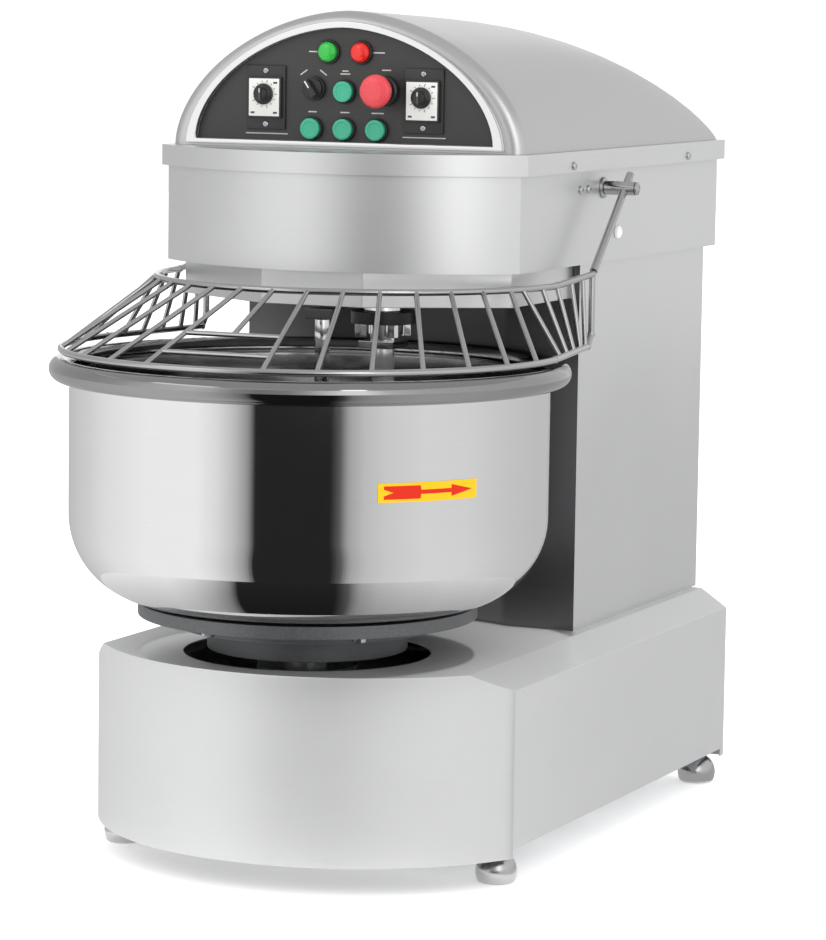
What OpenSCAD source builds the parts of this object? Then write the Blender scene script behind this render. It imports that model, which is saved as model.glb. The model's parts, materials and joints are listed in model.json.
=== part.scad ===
// Spiral dough mixer, floor standing, with a turning bowl and a tilting wire guard.
// Millimetres, +Z up, the operator stands on the -Y side. Every module works from
// the bowl's own axis; on_axis() then moves it so that the origin is the middle of
// the footprint, on the floor.

/* [Base] */
// Half of the base's width at the floor
base_half_w = 276; // [270:1:284]
// Half of the width of the flat top, inside the side chamfers
base_top_half_w = 240; // [232:1:246]
// Height of the base's top plate
base_top_z = 257; // [254:1:262]
// Height at which the side chamfer starts
base_chamfer_z = 233; // [226:1:240]
// How far the front bulges out ahead of its corners
base_bulge = 167; // [150:1:175]
// Front corner of the base, from the bowl's axis
base_corner_y = -13; // [-20:1:-5]
// Back of the base, from the bowl's axis
base_rear_y = 721; // [715:1:735]
// Height of the lower edge of the side walls
base_side_z = 43; // [40:1:48]
// Height of the lower edge of the front apron
base_front_z = 33; // [30:1:38]
// Thickness of the stainless sheet
sheet = 2.5; // [2:0.5:3]

/* [Column] */
// Half of the column's width
column_half_w = 226; // [222:1:229]
// Front of the column, from the bowl's axis
column_front_y = 292; // [290:1:300]
// Back of the column, from the bowl's axis
column_rear_y = 736; // [732:1:742]

/* [Head] */
// Half of the head's width
head_half_w = 233; // [231:1:236]
// Lower edge of the head
head_z = 713; // [711:1:716]
// Lower edge of the flange that covers the head's top
flange_z = 828; // [824:1:832]
// Front corner of the head, from the bowl's axis
head_corner_y = 80; // [76:1:84]
// Back of the head, from the bowl's axis
head_rear_y = 762; // [758:1:764]
// How far the head's front bulges out
head_bulge = 99; // [94:1:104]
// Lower edge of the faceted skirt under the head
skirt_z = 671; // [666:1:676]

/* [Hood] */
// Height of the flange band
flange_h = 25; // [22:1:28]
// Overhang of the flange past the head's walls
flange_out = 9; // [8:1:11]
// Height of the dome over the flange
dome_h = 166; // [160:1:170]
// Exponent of the dome's arched section
dome_power = 1.8; // [1.7:0.05:2.2]
// Front of the dome, from the bowl's axis
dome_front_y = 85; // [83:1:88]
// Back of the dome, from the bowl's axis
dome_rear_y = 758; // [750:1:762]

/* [Bowl] */
// Outer radius of the rolled rim
rim_r = 310; // [308:1:312]
// Radius of the rim's round section
rim_tube_r = 14; // [13:0.5:15]
// Height of the rim's centre line
rim_z = 595; // [592:1:597]
// Outer radius of the bowl's wall
bowl_r = 286; // [284:1:288]
// Radius of the round corner at the bottom of the bowl
bowl_corner_r = 105; // [100:1:110]
// Height of the bowl's bottom
bowl_z = 318; // [316:1:320]
// Wall thickness of the bowl
bowl_wall = 3; // [2.5:0.5:3.5]
// Radius of the carrier disc under the bowl
carrier_r = 203; // [198:1:206]

/* [Spiral] */
// Spiral shaft's distance from the bowl's axis, sideways
spiral_x = 30; // [26:1:32]
// Spiral shaft's distance from the bowl's axis, backwards
spiral_y = 142; // [140:1:146]
// Radius of the spiral hook's centre line
hook_r = 108; // [104:1:110]
// Radius of the hook's bar
hook_bar_r = 14; // [13:0.5:15]
// Turns of the hook
hook_turns = 1.5; // [1.25:0.25:1.75]

/* [Guard] */
// Radius of the guard's lower ring
guard_low_r = 298; // [296:1:300]
// Centre of the lower ring, from the bowl's axis
guard_low_y = 5; // [2:1:8]
// Height of the lower ring
guard_low_z = 618; // [617:1:622]
// Radius of the guard's upper ring
guard_up_r = 253; // [252:1:256]
// Centre of the upper ring, from the bowl's axis
guard_up_y = 150; // [146:1:154]
// Height of the upper ring
guard_up_z = 696; // [692:1:700]
// Radius of the ring wires
ring_wire_r = 4; // [3.5:0.5:4.5]
// Radius of the spoke wires
spoke_r = 3; // [2.5:0.5:3.5]
// Spokes on each side of the middle one
spokes = 7; // [5:1:8]
// Hinge line of the guard, from the bowl's axis
pivot_y = 347; // [344:1:350]
// Height of the guard's hinge line
pivot_z = 805; // [803:1:807]

/* [Panel] */
// Half of the width of the black control panel
panel_half_w = 196; // [190:1:200]
// Height of the black control panel
panel_h = 136; // [130:1:138]
// Height of the lower edge of the panel
panel_z = 862; // [860:1:864]
// Travel of each push button
button_travel = 3; // [2:0.5:4]

/* [Drive] */
// Distance of the countershaft from the bowl's axis
counter_y = 400; // [396:1:404]
// Distance of the motor's shaft from the bowl's axis
motor_y = 600; // [596:1:604]
// Jackshaft's sideways distance from the bowl's axis
jack_x = 150; // [146:1:154]
// Jackshaft's distance behind the bowl's axis
jack_y = 235; // [232:1:238]

/* [Feet] */
// Sideways distance of the feet from the middle
foot_x = 248; // [244:1:250]
// Front feet, from the bowl's axis
foot_front_y = 4; // [0:1:10]
// Rear feet, from the bowl's axis
foot_rear_y = 694; // [688:1:700]
// Radius of a foot's rubber pad
foot_r = 24; // [22:1:26]

/* [Hidden] */

$fn = 96;
hull_fn = 32;
tiny = 0.01;
dome_slope = 0.032;
dome_bend_y = 150;
dome_edge_r = 16;

steel_colour = [0.78, 0.79, 0.80];
polished_colour = [0.86, 0.87, 0.88];
painted_colour = [0.62, 0.64, 0.66];
cast_colour = [0.36, 0.38, 0.40];
black_colour = [0.08, 0.08, 0.09];
green_colour = [0.20, 0.68, 0.52];
red_colour = [0.86, 0.20, 0.22];
white_colour = [0.90, 0.90, 0.88];
rubber_colour = [0.12, 0.12, 0.12];

cover_screw_x = 192;
cover_screw_z = [314, 480, 670];
head_screw_y = [270, 296];
flange_screw_y = [225, 625];
flange_screw_z = 836;
screw_hole_r = 2.6;
gland_x = 150;
gland_z = 274;
gap = 0.3;
running_fit = 0.05;

skirt_half_w = 217;
skirt_corner_y = 96;
skirt_flat_w = 66;
skirt_front_y = 0;
breaker_x = 15;
breaker_y = 0;
breaker_r = 9;
rim_clear = 12;
flange_half_w = head_half_w + flange_out;
flange_top_z = flange_z + flange_h;
flange_rear_y = head_rear_y + 4;
dome_half_w = head_half_w;
axis_y = (rim_r - flange_rear_y) / 2;

deck_z = 190;
deck_t = 12;
floor_z = head_z + 4;
floor_t = 10;

bowl_shaft_r = 26;
shaft_r = 15;
foot_stem_r = 8;
rail_x = 240;
beam_top_z = 73;
shaft_low_z = 76;
motor_shaft_r = 14;
spiral_shaft_r = 24;

low_belt_z = 110;
mid_belt_z = 152;
motor_belt_z = 232;
top_belt_z = 780;
belt_t = 9;
belt_w = 22;
bowl_pulley_r = 160;
jack_pinion_r = 30;
jack_pulley_r = 95;
counter_pinion_r = 32;
counter_pulley_r = 100;
motor_pulley_r = 46;
spiral_pulley_r = 134;
counter_top_r = 48;

panel_y = dome_front_y + 6;
bezel_w = 14;
lamp_x = 21.5;
lamp_z = 969;
button_x = 43;
button_low_z = 877;
button_mid_z = 922;
stop_x = 54;
stop_z = 924;
selector_x = -40;
selector_z = 925;
timer_x = 104;
timer_z = 913;

arrow_a = 54;
arrow_span = 13;
arrow_z = 471;
arrow_h = 22;
guard_end_x = 262;
guard_end_y = 242;
guard_bar_y = [72, 110, 149, 186, 216];
low_turn = 7;
low_start = [guard_low_r * cos(low_turn), guard_low_y + guard_low_r * sin(low_turn), guard_low_z];
low_end = [guard_end_x, guard_end_y - 12, guard_low_z];
up_start = [guard_up_r, guard_up_y, guard_up_z];
up_end = [guard_end_x, guard_end_y, guard_up_z + 9];
chute_low = 0.18;
chute_top = 0.42;
weld = 0.7;
low_step = 11.9;
low_first = 2.5;
up_step = 9.6;

function arc_r(half_w, bulge) = (half_w * half_w + bulge * bulge) / (2 * bulge);
function arch_point(half_w, h, p, a) = [
  half_w * sign(cos(a)) * pow(abs(cos(a)), 2 / p),
  h * pow(abs(sin(a)), 2 / p)
];
function arch(half_w, h, p, steps) = [
  for (i = [0 : steps]) arch_point(half_w, h, p, 180 * i / steps)
];
function dome_top(y) = dome_h - dome_slope * (y - dome_front_y);
function low_angle(k) = k == 0 ? 0 : sign(k) * (low_first + low_step * abs(k));
function low_point(k) = [
  guard_low_r * sin(low_angle(k)),
  guard_low_y - guard_low_r * cos(low_angle(k)),
  guard_low_z
];
function up_point(k) = [
  guard_up_r * sin(up_step * k),
  guard_up_y - guard_up_r * cos(up_step * k),
  guard_up_z
];
function mix(a, b, t) = a + (b - a) * t;
function spoke_point(k, t) = mix(low_point(k), up_point(k), t);

// Moves a part from the bowl's axis to the object's own origin.
module on_axis() {
  translate([0, axis_y, 0]) children();
}

// A straight-sided plan whose front is one shallow arc.
module bow_plan(half_w, corner_y, rear_y, bulge, inset = 0) {
  r = arc_r(half_w, bulge);
  cy = corner_y - bulge + r;
  w = half_w - inset;
  intersection() {
    translate([-w, cy - r]) square([2 * w, rear_y - inset - cy + r]);
    union() {
      translate([0, cy]) circle(r - inset);
      translate([-r, cy]) square([2 * r, rear_y - cy]);
    }
  }
}

// A round bar between two points.
module rod(a, b, r) {
  d = b - a;
  len = norm(d);
  tilt = acos(d[2] / len);
  turn = atan2(d[1], d[0]);
  translate(a) rotate([0, tilt, turn]) cylinder(h = len, r = r, $fn = 24);
}

// A rod with a weld bead at its far end, where the next rod joins it.
module rod_ball(a, b, r) {
  rod(a, b, r);
  translate(b) sphere(r + weld, $fn = 24);
}

// A flat loop round two pulleys, open inside.
module belt_loop(c1, r1, c2, r2, z) {
  translate([0, 0, z - belt_w / 2]) linear_extrude(belt_w) difference() {
    belt_plan(c1, r1 + belt_t, c2, r2 + belt_t);
    belt_plan(c1, r1, c2, r2);
  }
}

// The outline of two circles and their outer tangents.
module belt_plan(c1, r1, c2, r2) {
  d = c2 - c1;
  len = norm(d);
  dir = atan2(d[1], d[0]);
  lean = acos((r1 - r2) / len);
  a = [cos(dir + lean), sin(dir + lean)];
  b = [cos(dir - lean), sin(dir - lean)];
  translate(c1) circle(r1);
  translate(c2) circle(r2);
  polygon([c1, c1 + r1 * a, c2 + r2 * a, c2, c2 + r2 * b, c1 + r1 * b]);
}

// A pulley with a groove that clears its belt by the gap.
module pulley(r, z, bore) {
  rim = belt_t + 4;
  half = belt_w / 2 + gap;
  translate([0, 0, z]) rotate_extrude() polygon([
    [bore, -half - 6], [r + rim - 6, -half - 6], [r + rim - 6, -half],
    [r - gap, -half], [r - gap, half], [r + rim - 6, half],
    [r + rim - 6, half + 6], [bore, half + 6]
  ]);
}

// A flanged bearing housing with a running bore.
module housing(r, h, bore) {
  difference() {
    union() {
      cylinder(h = 8, r = r * 1.6);
      cylinder(h = h, r = r);
    }
    translate([0, 0, -1]) cylinder(h = h + 2, r = bore + running_fit);
    for (a = [45 : 90 : 315])
      rotate(a) translate([r * 1.3, 0, -1]) cylinder(h = 10, r = 4);
  }
}

// Profile of the base in the XZ plane, chamfered at the top sides.
module base_profile(inset, low) {
  polygon([
    [-base_half_w + inset, low], [base_half_w - inset, low],
    [base_half_w - inset, base_chamfer_z - inset * 0.4],
    [base_top_half_w - inset * 0.7, base_top_z - inset],
    [-base_top_half_w + inset * 0.7, base_top_z - inset],
    [-base_half_w + inset, base_chamfer_z - inset * 0.4]
  ]);
}

module base_block(inset, low) {
  intersection() {
    translate([0, 0, low])
      linear_extrude(base_top_z - inset - low)
        bow_plan(base_half_w, base_corner_y, base_rear_y, base_bulge, inset);
    translate([0, base_rear_y + 10, 0]) rotate([90, 0, 0])
      linear_extrude(base_rear_y + 400) base_profile(inset, low);
  }
}

module base_shell() {
  color(steel_colour) on_axis() difference() {
    base_block(0, base_front_z);
    base_block(sheet, base_front_z - 1);
    translate([-base_half_w - 1, base_corner_y + 2, base_front_z - 1])
      cube([2 * base_half_w + 2, base_rear_y, base_side_z - base_front_z + 1]);
    cylinder(h = 400, r = 148);
    translate([-130, column_front_y + 40, base_top_z - 20]) cube([260, 370, 40]);
    for (x = [-180 : 24 : 180])
      translate([x - 4, base_rear_y - 10, 120]) cube([8, 20, 70]);
  }
}

module base_frame() {
  rail_z = base_side_z + 2;
  rail_h = 40;
  beam_h = 28;
  color(painted_colour) on_axis() difference() {
    union() {
      for (s = [-1, 1]) {
        translate([s * rail_x - 26, -10, rail_z]) cube([52, base_rear_y + 1, rail_h]);
        for (y = [40, 380, 685])
          translate([s * rail_x - 20, y - 20, rail_z + rail_h]) cube([40, 40, deck_z - rail_z - rail_h]);
      }
      for (y = [0, jack_y, counter_y, 672])
        translate([-rail_x, y - 25, rail_z]) cube([2 * rail_x, 50, beam_h]);
    }
    for (s = [-1, 1], y = [foot_front_y, foot_rear_y])
      translate([s * foot_x, y, 0]) cylinder(h = 100, r = foot_stem_r + running_fit);
  }
}

module base_deck() {
  color(painted_colour) on_axis() difference() {
    translate([0, 0, deck_z]) linear_extrude(deck_t)
      bow_plan(base_half_w - 8, base_corner_y, base_rear_y - 6, base_bulge - 20);
    translate([0, 0, deck_z - 1]) {
      cylinder(h = deck_t + 2, r = bowl_shaft_r + 10);
      translate([jack_x, jack_y, 0]) cylinder(h = deck_t + 2, r = shaft_r + 6);
      translate([0, counter_y, 0]) cylinder(h = deck_t + 2, r = shaft_r + 6);
    }
  }
}

module bearing_housings() {
  color(cast_colour) on_axis() {
    translate([0, 0, deck_z + deck_t]) housing(60, 40, bowl_shaft_r);
    translate([0, 0, beam_top_z]) housing(44, 16, bowl_shaft_r);
    translate([jack_x, jack_y, beam_top_z]) housing(28, 14, shaft_r);
    translate([0, counter_y, beam_top_z]) housing(28, 14, shaft_r);
    translate([jack_x, jack_y, deck_z + deck_t]) housing(30, 24, shaft_r);
    translate([0, counter_y, deck_z]) mirror([0, 0, 1]) housing(30, 16, shaft_r);
    translate([0, counter_y, floor_z + floor_t]) housing(30, 26, shaft_r);
    translate([spiral_x, spiral_y, floor_z]) mirror([0, 0, 1]) difference() {
      union() {
        cylinder(h = 10, r = 78);
        cylinder(h = 40, r = 56);
      }
      translate([0, 0, -1]) cylinder(h = 42, r = spiral_shaft_r + running_fit);
    }
    translate([spiral_x, spiral_y, floor_z + floor_t]) housing(46, 26, spiral_shaft_r);
  }
}

// Plan of the column, hollowed at the front so that the bowl's rim turns clear of it.
module column_plan(inset) {
  difference() {
    translate([-column_half_w + inset, column_front_y + inset])
      square([2 * (column_half_w - inset), column_rear_y - column_front_y - 2 * inset]);
    circle(rim_r + rim_clear + inset);
  }
}

module column_shell() {
  h = head_z - base_top_z;
  color(steel_colour) on_axis() difference() {
    translate([0, 0, base_top_z]) linear_extrude(h) difference() {
      column_plan(0);
      column_plan(sheet);
    }
    translate([-column_half_w + 40, column_rear_y - 10, base_top_z + 56])
      cube([2 * column_half_w - 80, 20, h - 96]);
    for (s = [-1, 1], z = cover_screw_z)
      translate([s * cover_screw_x, column_rear_y - 10, z]) rotate([-90, 0, 0]) cylinder(h = 20, r = screw_hole_r);
    translate([gland_x, column_rear_y - 10, gland_z]) rotate([-90, 0, 0]) cylinder(h = 20, r = 11 + gap);
  }
}

module column_frame() {
  post = 40;
  z0 = base_top_z + gap;
  color(painted_colour) on_axis() {
    for (s = [-1, 1], y = [column_front_y + 6, column_rear_y - 6 - post])
      translate([s * (column_half_w - 6 - post / 2) - post / 2, y, z0])
        difference() {
          cube([post, post, floor_z - z0]);
          translate([4, 4, -1]) cube([post - 8, post - 8, floor_z - z0 + 2]);
        }
    for (y = [column_front_y + post, column_rear_y - 6 - post])
      translate([-column_half_w + 6 + post, y, head_z - 60])
        cube([2 * (column_half_w - 6 - post), post, 30]);
  }
}

module rear_cover() {
  w = column_half_w - 26;
  color(steel_colour) on_axis() difference() {
    translate([-w, column_rear_y, base_top_z + 40]) cube([2 * w, 3, head_z - base_top_z - 66]);
    for (z = [360 : 16 : 520], s = [-1, 1])
      translate([s * 70 - 55, column_rear_y - 1, z]) cube([110, 5, 6]);
    for (s = [-1, 1], z = cover_screw_z)
      translate([s * cover_screw_x, column_rear_y - 1, z]) rotate([-90, 0, 0]) cylinder(h = 5, r = screw_hole_r);
  }
}

module motor() {
  z0 = 285;
  color([0.20, 0.30, 0.42]) on_axis() translate([0, motor_y, z0]) {
    difference() {
      union() {
        cylinder(h = 14, r = 98);
        cylinder(h = 230, r = 80);
        translate([0, 0, 230]) cylinder(h = 50, r = 84);
        for (a = [0 : 15 : 345])
          rotate(a) translate([78, -1.5, 20]) cube([12, 3, 195]);
        translate([-45, -112, 90]) cube([90, 50, 90]);
      }
      translate([0, 0, -1]) cylinder(h = 200, r = motor_shaft_r + running_fit);
      for (a = [45 : 90 : 315])
        rotate(a) translate([90, 0, -1]) cylinder(h = 16, r = 5);
    }
  }
}

module motor_plate() {
  color(painted_colour) on_axis() difference() {
    translate([-column_half_w + sheet + gap, motor_y - 110, 273])
      cube([2 * (column_half_w - sheet - gap), 195, 12]);
    translate([0, motor_y, 270]) cylinder(h = 20, r = 30);
  }
}

module head_shell() {
  h = flange_z - head_z + 16;
  color(steel_colour) on_axis() translate([0, 0, head_z]) linear_extrude(sheet) difference() {
    bow_plan(head_half_w, head_corner_y, head_rear_y, head_bulge, 1);
    skirt_plan(-gap);
    column_plan(5);
  }
  color(steel_colour) on_axis() difference() {
    translate([0, 0, head_z]) linear_extrude(h) difference() {
      bow_plan(head_half_w, head_corner_y, head_rear_y, head_bulge);
      bow_plan(head_half_w, head_corner_y, head_rear_y, head_bulge, sheet);
    }
    for (y = head_screw_y)
      translate([-head_half_w - 1, y, pivot_z]) rotate([0, 90, 0])
        cylinder(h = 2 * head_half_w + 2, r = screw_hole_r);
    translate([-head_half_w - 1, pivot_y, pivot_z]) rotate([0, 90, 0])
      cylinder(h = 2 * head_half_w + 2, r = 5 + running_fit);
  }
}

module head_floor() {
  color(painted_colour) on_axis() difference() {
    translate([0, 0, floor_z]) linear_extrude(floor_t)
      bow_plan(head_half_w, head_corner_y, head_rear_y, head_bulge, sheet + gap);
    translate([0, 0, floor_z - 1]) {
      translate([spiral_x, spiral_y, 0]) cylinder(h = floor_t + 2, r = spiral_shaft_r + 6);
      translate([0, counter_y, 0]) cylinder(h = floor_t + 2, r = shaft_r + 6);
      translate([0, motor_y + 90, 0]) cylinder(h = floor_t + 2, r = 20);
    }
  }
}

// Plan of the faceted skirt: flat front, one slanted facet each side.
module skirt_plan(inset) {
  w = skirt_half_w - inset;
  y = skirt_front_y + inset;
  polygon([
    [w, column_front_y - 1], [w, skirt_corner_y], [skirt_flat_w, y], [-skirt_flat_w, y],
    [-w, skirt_corner_y], [-w, column_front_y - 1]
  ]);
}

module head_skirt() {
  color(steel_colour) on_axis() {
    translate([0, 0, skirt_z]) linear_extrude(floor_z - skirt_z) difference() {
      skirt_plan(0);
      skirt_plan(sheet);
    }
    translate([0, 0, skirt_z]) linear_extrude(sheet) difference() {
      skirt_plan(0);
      translate([spiral_x, spiral_y]) circle(62);
      translate([breaker_x, breaker_y + 20]) circle(15);
    }
  }
}

module breaker_bar() {
  top_z = skirt_z - 15;
  color(polished_colour) on_axis() translate([breaker_x, breaker_y, 0]) {
    translate([0, 0, 348]) cylinder(h = top_z - 348, r = breaker_r);
    translate([0, 0, 348]) sphere(breaker_r);
    translate([-18, -12, top_z]) cube([36, 48, 12]);
    translate([0, 20, top_z + 12]) cylinder(h = floor_z - top_z - 12, r = 14);
  }
}

// One thin slice of the dome, at y.
module dome_slice(y, half_w, h) {
  translate([0, y, flange_top_z]) rotate([90, 0, 0])
    linear_extrude(tiny) polygon(arch(half_w, h, dome_power, 40));
}

// The dome: a rounded front edge, a gently falling top and a long round drop at the back.
module dome(inset) {
  w = dome_half_w - inset;
  y0 = dome_front_y + inset;
  back = dome_rear_y - 1.5 * inset - dome_bend_y;
  hull() {
    for (a = [0 : 15 : 90]) {
      ease = dome_edge_r * (1 - sin(a));
      y = y0 + dome_edge_r * (1 - cos(a));
      dome_slice(y, w - ease, dome_top(y) - inset - ease);
    }
    for (a = [0 : 9 : 81]) {
      y = dome_bend_y + back * sqrt(sin(a));
      dome_slice(y, w, dome_top(y) * sqrt(cos(a)) - inset);
    }
    for (a = [85, 87.5, 89]) {
      y = dome_bend_y + back * sqrt(sin(a));
      dome_slice(y, w, dome_top(y) * sqrt(cos(a)) - inset);
    }
  }
}

module hood() {
  color(steel_colour) on_axis() difference() {
    dome(0);
    translate([0, 0, -tiny]) dome(sheet);
    translate([0, dome_front_y + 10, panel_z]) rotate([90, 0, 0])
      linear_extrude(30) polygon(arch(panel_half_w, panel_h, dome_power, 48));
  }
}

module hood_flange() {
  color(steel_colour) on_axis() difference() {
    union() {
      translate([0, 0, flange_z]) linear_extrude(flange_h) difference() {
        bow_plan(flange_half_w, head_corner_y, flange_rear_y, head_bulge + 6);
        bow_plan(flange_half_w, head_corner_y, flange_rear_y, head_bulge + 6, sheet);
      }
      translate([0, 0, flange_top_z - sheet]) linear_extrude(sheet) difference() {
        bow_plan(flange_half_w, head_corner_y, flange_rear_y, head_bulge + 6);
        translate([-dome_half_w + 12, dome_front_y + 12])
          square([2 * dome_half_w - 24, dome_rear_y - dome_front_y - 24]);
      }
    }
    for (s = [-1, 1], y = flange_screw_y)
      translate([s * (flange_half_w - 6), y, flange_screw_z]) rotate([0, s * 90, 0])
        cylinder(h = 12, r = screw_hole_r);
  }
}

// A domed screw head on a short shank, pointing along +X.
module screw(r) {
  rotate([0, 90, 0]) {
    translate([0, 0, -6]) cylinder(h = 6.5, r = r * 0.45);
    intersection() {
      cylinder(h = r, r = r);
      translate([0, 0, -r * 0.8]) sphere(r * 1.3);
    }
  }
}

module cover_screws() {
  color(polished_colour) on_axis() {
    for (s = [-1, 1], y = flange_screw_y)
      translate([s * (flange_half_w + gap), y, flange_screw_z]) rotate(s > 0 ? 0 : 180) screw(5);
    for (s = [-1, 1], z = cover_screw_z)
      translate([s * cover_screw_x, column_rear_y + 3 + gap, z]) rotate(90) screw(5);
    for (s = [-1, 1], y = head_screw_y)
      translate([s * (head_half_w + gap), y, pivot_z]) rotate(s > 0 ? 0 : 180) screw(5);
  }
}

module panel_bezel() {
  color(polished_colour) on_axis() translate([0, dome_front_y - gap, 0]) rotate([90, 0, 0])
    linear_extrude(6) difference() {
      translate([0, panel_z - 6])
        polygon(arch(panel_half_w + bezel_w, panel_h + bezel_w, dome_power, 48));
      translate([0, panel_z]) polygon(arch(panel_half_w, panel_h, dome_power, 48));
    }
}

module panel_plate() {
  color(black_colour) on_axis() translate([0, panel_y, 0]) rotate([90, 0, 0])
    linear_extrude(3) difference() {
      translate([0, panel_z - 3]) polygon(arch(panel_half_w + 3, panel_h + 3, dome_power, 48));
      for (s = [-1, 1]) translate([s * lamp_x, lamp_z]) circle(9);
      for (x = [-1 : 1]) translate([x * button_x, button_low_z]) circle(11);
      translate([0, button_mid_z]) circle(11);
      translate([stop_x, stop_z]) circle(11);
      translate([selector_x, selector_z]) circle(11);
      for (s = [-1, 1]) translate([s * timer_x, timer_z]) square([40, 60], center = true);
    }
}

// Places a child on the panel's face, its +Z pointing at the operator.
module on_panel(x, z) {
  on_axis() translate([x, panel_y - 3, z]) rotate([90, 0, 0]) children();
}

module lamp(x, c) {
  color(c) on_panel(x, lamp_z) {
    translate([0, 0, -16]) cylinder(h = 18, r = 8.5);
    translate([0, 0, 2]) cylinder(h = 5, r = 12);
    intersection() {
      translate([0, 0, 7]) cylinder(h = 6, r = 12);
      translate([0, 0, -4]) sphere(16);
    }
  }
}

module run_lamp() { lamp(-lamp_x, [0.25, 0.78, 0.35]); }

module power_lamp() { lamp(lamp_x, [0.93, 0.16, 0.12]); }

module bezel_ring(outer, inner, h) {
  difference() {
    cylinder(h = h, r = outer);
    translate([0, 0, -1]) cylinder(h = h + 2, r = inner);
  }
}

module control_bezels() {
  color(black_colour) {
    for (s = [-1, 1]) on_panel(s * lamp_x, lamp_z) translate([0, 0, gap / 2]) bezel_ring(14.5, 12.2, 4);
    for (x = [-1 : 1]) on_panel(x * button_x, button_low_z) button_body();
    on_panel(0, button_mid_z) button_body();
  }
}

// Collar in front of the panel with its contact block behind it.
module button_body() {
  difference() {
    union() {
      cylinder(h = 5, r = 14.4);
      translate([0, 0, -24]) cylinder(h = 24.5, r = 10.8);
    }
    translate([0, 0, -18]) cylinder(h = 30, r = 8 + running_fit);
    translate([0, 0, -1]) cylinder(h = 10, r = 12.8);
  }
}

module button(x, z) {
  color(green_colour) on_panel(x, z) {
    translate([0, 0, -12]) cylinder(h = 12.3 + button_travel, r = 8);
    translate([0, 0, 0.3 + button_travel]) cylinder(h = 7.7 - button_travel, r = 12.5);
    intersection() {
      translate([0, 0, 8]) cylinder(h = 2, r = 12.5);
      translate([0, 0, -31]) sphere(41);
    }
  }
}

module start_button() { button(0, button_mid_z); }

module slow_button() { button(-button_x, button_low_z); }

module fast_button() { button(0, button_low_z); }

module bowl_button() { button(button_x, button_low_z); }

module stop_base() {
  color(black_colour) on_panel(stop_x, stop_z) difference() {
    union() {
      cylinder(h = 10, r = 18);
      cylinder(h = 20, r = 15);
      translate([0, 0, -30]) cylinder(h = 31, r = 10.8);
    }
    translate([0, 0, -20]) cylinder(h = 50, r = 7 + running_fit);
  }
}

module stop_button() {
  color(red_colour) on_panel(stop_x, stop_z) {
    translate([0, 0, -12]) cylinder(h = 40, r = 7);
    translate([0, 0, 26]) cylinder(h = 7, r = 20);
    intersection() {
      translate([0, 0, 33]) cylinder(h = 6, r = 20);
      translate([0, 0, -5]) sphere(43);
    }
  }
}

module selector_base() {
  color(black_colour) on_panel(selector_x, selector_z) difference() {
    union() {
      cylinder(h = 5, r = 14.4);
      translate([0, 0, -24]) cylinder(h = 25, r = 10.8);
    }
    translate([0, 0, -18]) cylinder(h = 30, r = 6 + running_fit);
  }
}

module selector_knob() {
  color(black_colour) on_panel(selector_x, selector_z) {
    translate([0, 0, -12]) cylinder(h = 18.5, r = 6);
    translate([0, 0, 5 + gap]) cylinder(h = 4, r = 12.5);
    rotate(35) translate([-3.5, -11, 7 + gap]) cube([7, 22, 10]);
  }
}

module timer_case(x) {
  color(black_colour) on_panel(x, timer_z) difference() {
    union() {
      translate([-25.5, -38.5, 0]) cube([51, 77, 3]);
      translate([-22, -25, 0]) cube([44, 50, 9]);
      translate([-19, -25, -62]) cube([38, 50, 63]);
    }
    translate([0, 4, -10]) cylinder(h = 30, r = 4 + running_fit);
    for (s = [-1, 1]) translate([0, s * 32, -1]) cylinder(h = 6, r = 2);
  }
}

module left_timer() { timer_case(-timer_x); }

module right_timer() { timer_case(timer_x); }

module timer_dial(x) {
  color(black_colour) on_panel(x, timer_z) translate([0, 4, 0]) {
    translate([0, 0, -6]) cylinder(h = 16, r = 4);
    translate([0, 0, 9 + gap]) cylinder(h = 5, r = 12.5);
    translate([0, 0, 9 + gap]) cylinder(h = 11, r = 7.5);
    translate([-1.5, -7, 9 + gap]) cube([3, 14, 13]);
  }
}

module left_timer_dial() { timer_dial(-timer_x); }

module right_timer_dial() { timer_dial(timer_x); }

module contactors() {
  color([0.80, 0.80, 0.76]) on_axis() {
    translate([-150, 600, floor_z + floor_t]) cube([300, 4, 90]);
    for (i = [0 : 4])
      translate([-140 + i * 58, 555, floor_z + floor_t + 12]) {
        cube([46, 45 + tiny, 66]);
        translate([6, -10, 14]) cube([34, 10 + tiny, 38]);
      }
  }
}

module cable_gland() {
  color(black_colour) on_axis() translate([gland_x, column_rear_y - 8, gland_z]) rotate([-90, 0, 0])
    difference() {
      union() {
        cylinder(h = 5, r = 16, $fn = 6);
        cylinder(h = 22, r = 11);
        translate([0, 0, 8 + gap]) cylinder(h = 8, r = 17, $fn = 6);
        translate([0, 0, 16]) cylinder(h = 16, r = 14);
      }
      translate([0, 0, -1]) cylinder(h = 40, r = 6);
    }
}

module side_plugs() {
  color(white_colour) on_axis() for (s = [-1, 1])
    translate([s * (head_half_w + gap), 395, 748]) rotate([0, s * 90, 0]) intersection() {
      cylinder(h = 8, r = 8);
      translate([0, 0, -4]) sphere(11);
    }
}

module guard_switch() {
  color(black_colour) on_axis() {
    translate([head_half_w - 46, pivot_y - 60, 740]) cube([28, 42, 66]);
    translate([head_half_w - 34, pivot_y - 26, 800]) cube([8, 30, 3]);
  }
}

module hinge_brackets() {
  color(polished_colour) on_axis() for (s = [-1, 1]) {
    translate([s > 0 ? head_half_w + gap : -head_half_w - gap - 3, pivot_y - 16, pivot_z - 20])
      cube([3, 32, 40]);
    translate([s * (head_half_w - 12), pivot_y, pivot_z]) rotate([0, s * 90, 0])
      cylinder(h = 58, r = 5);
    translate([s * (head_half_w + 44), pivot_y, pivot_z]) rotate([0, s * 90, 0])
      cylinder(h = 3, r = 8);
  }
}

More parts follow.
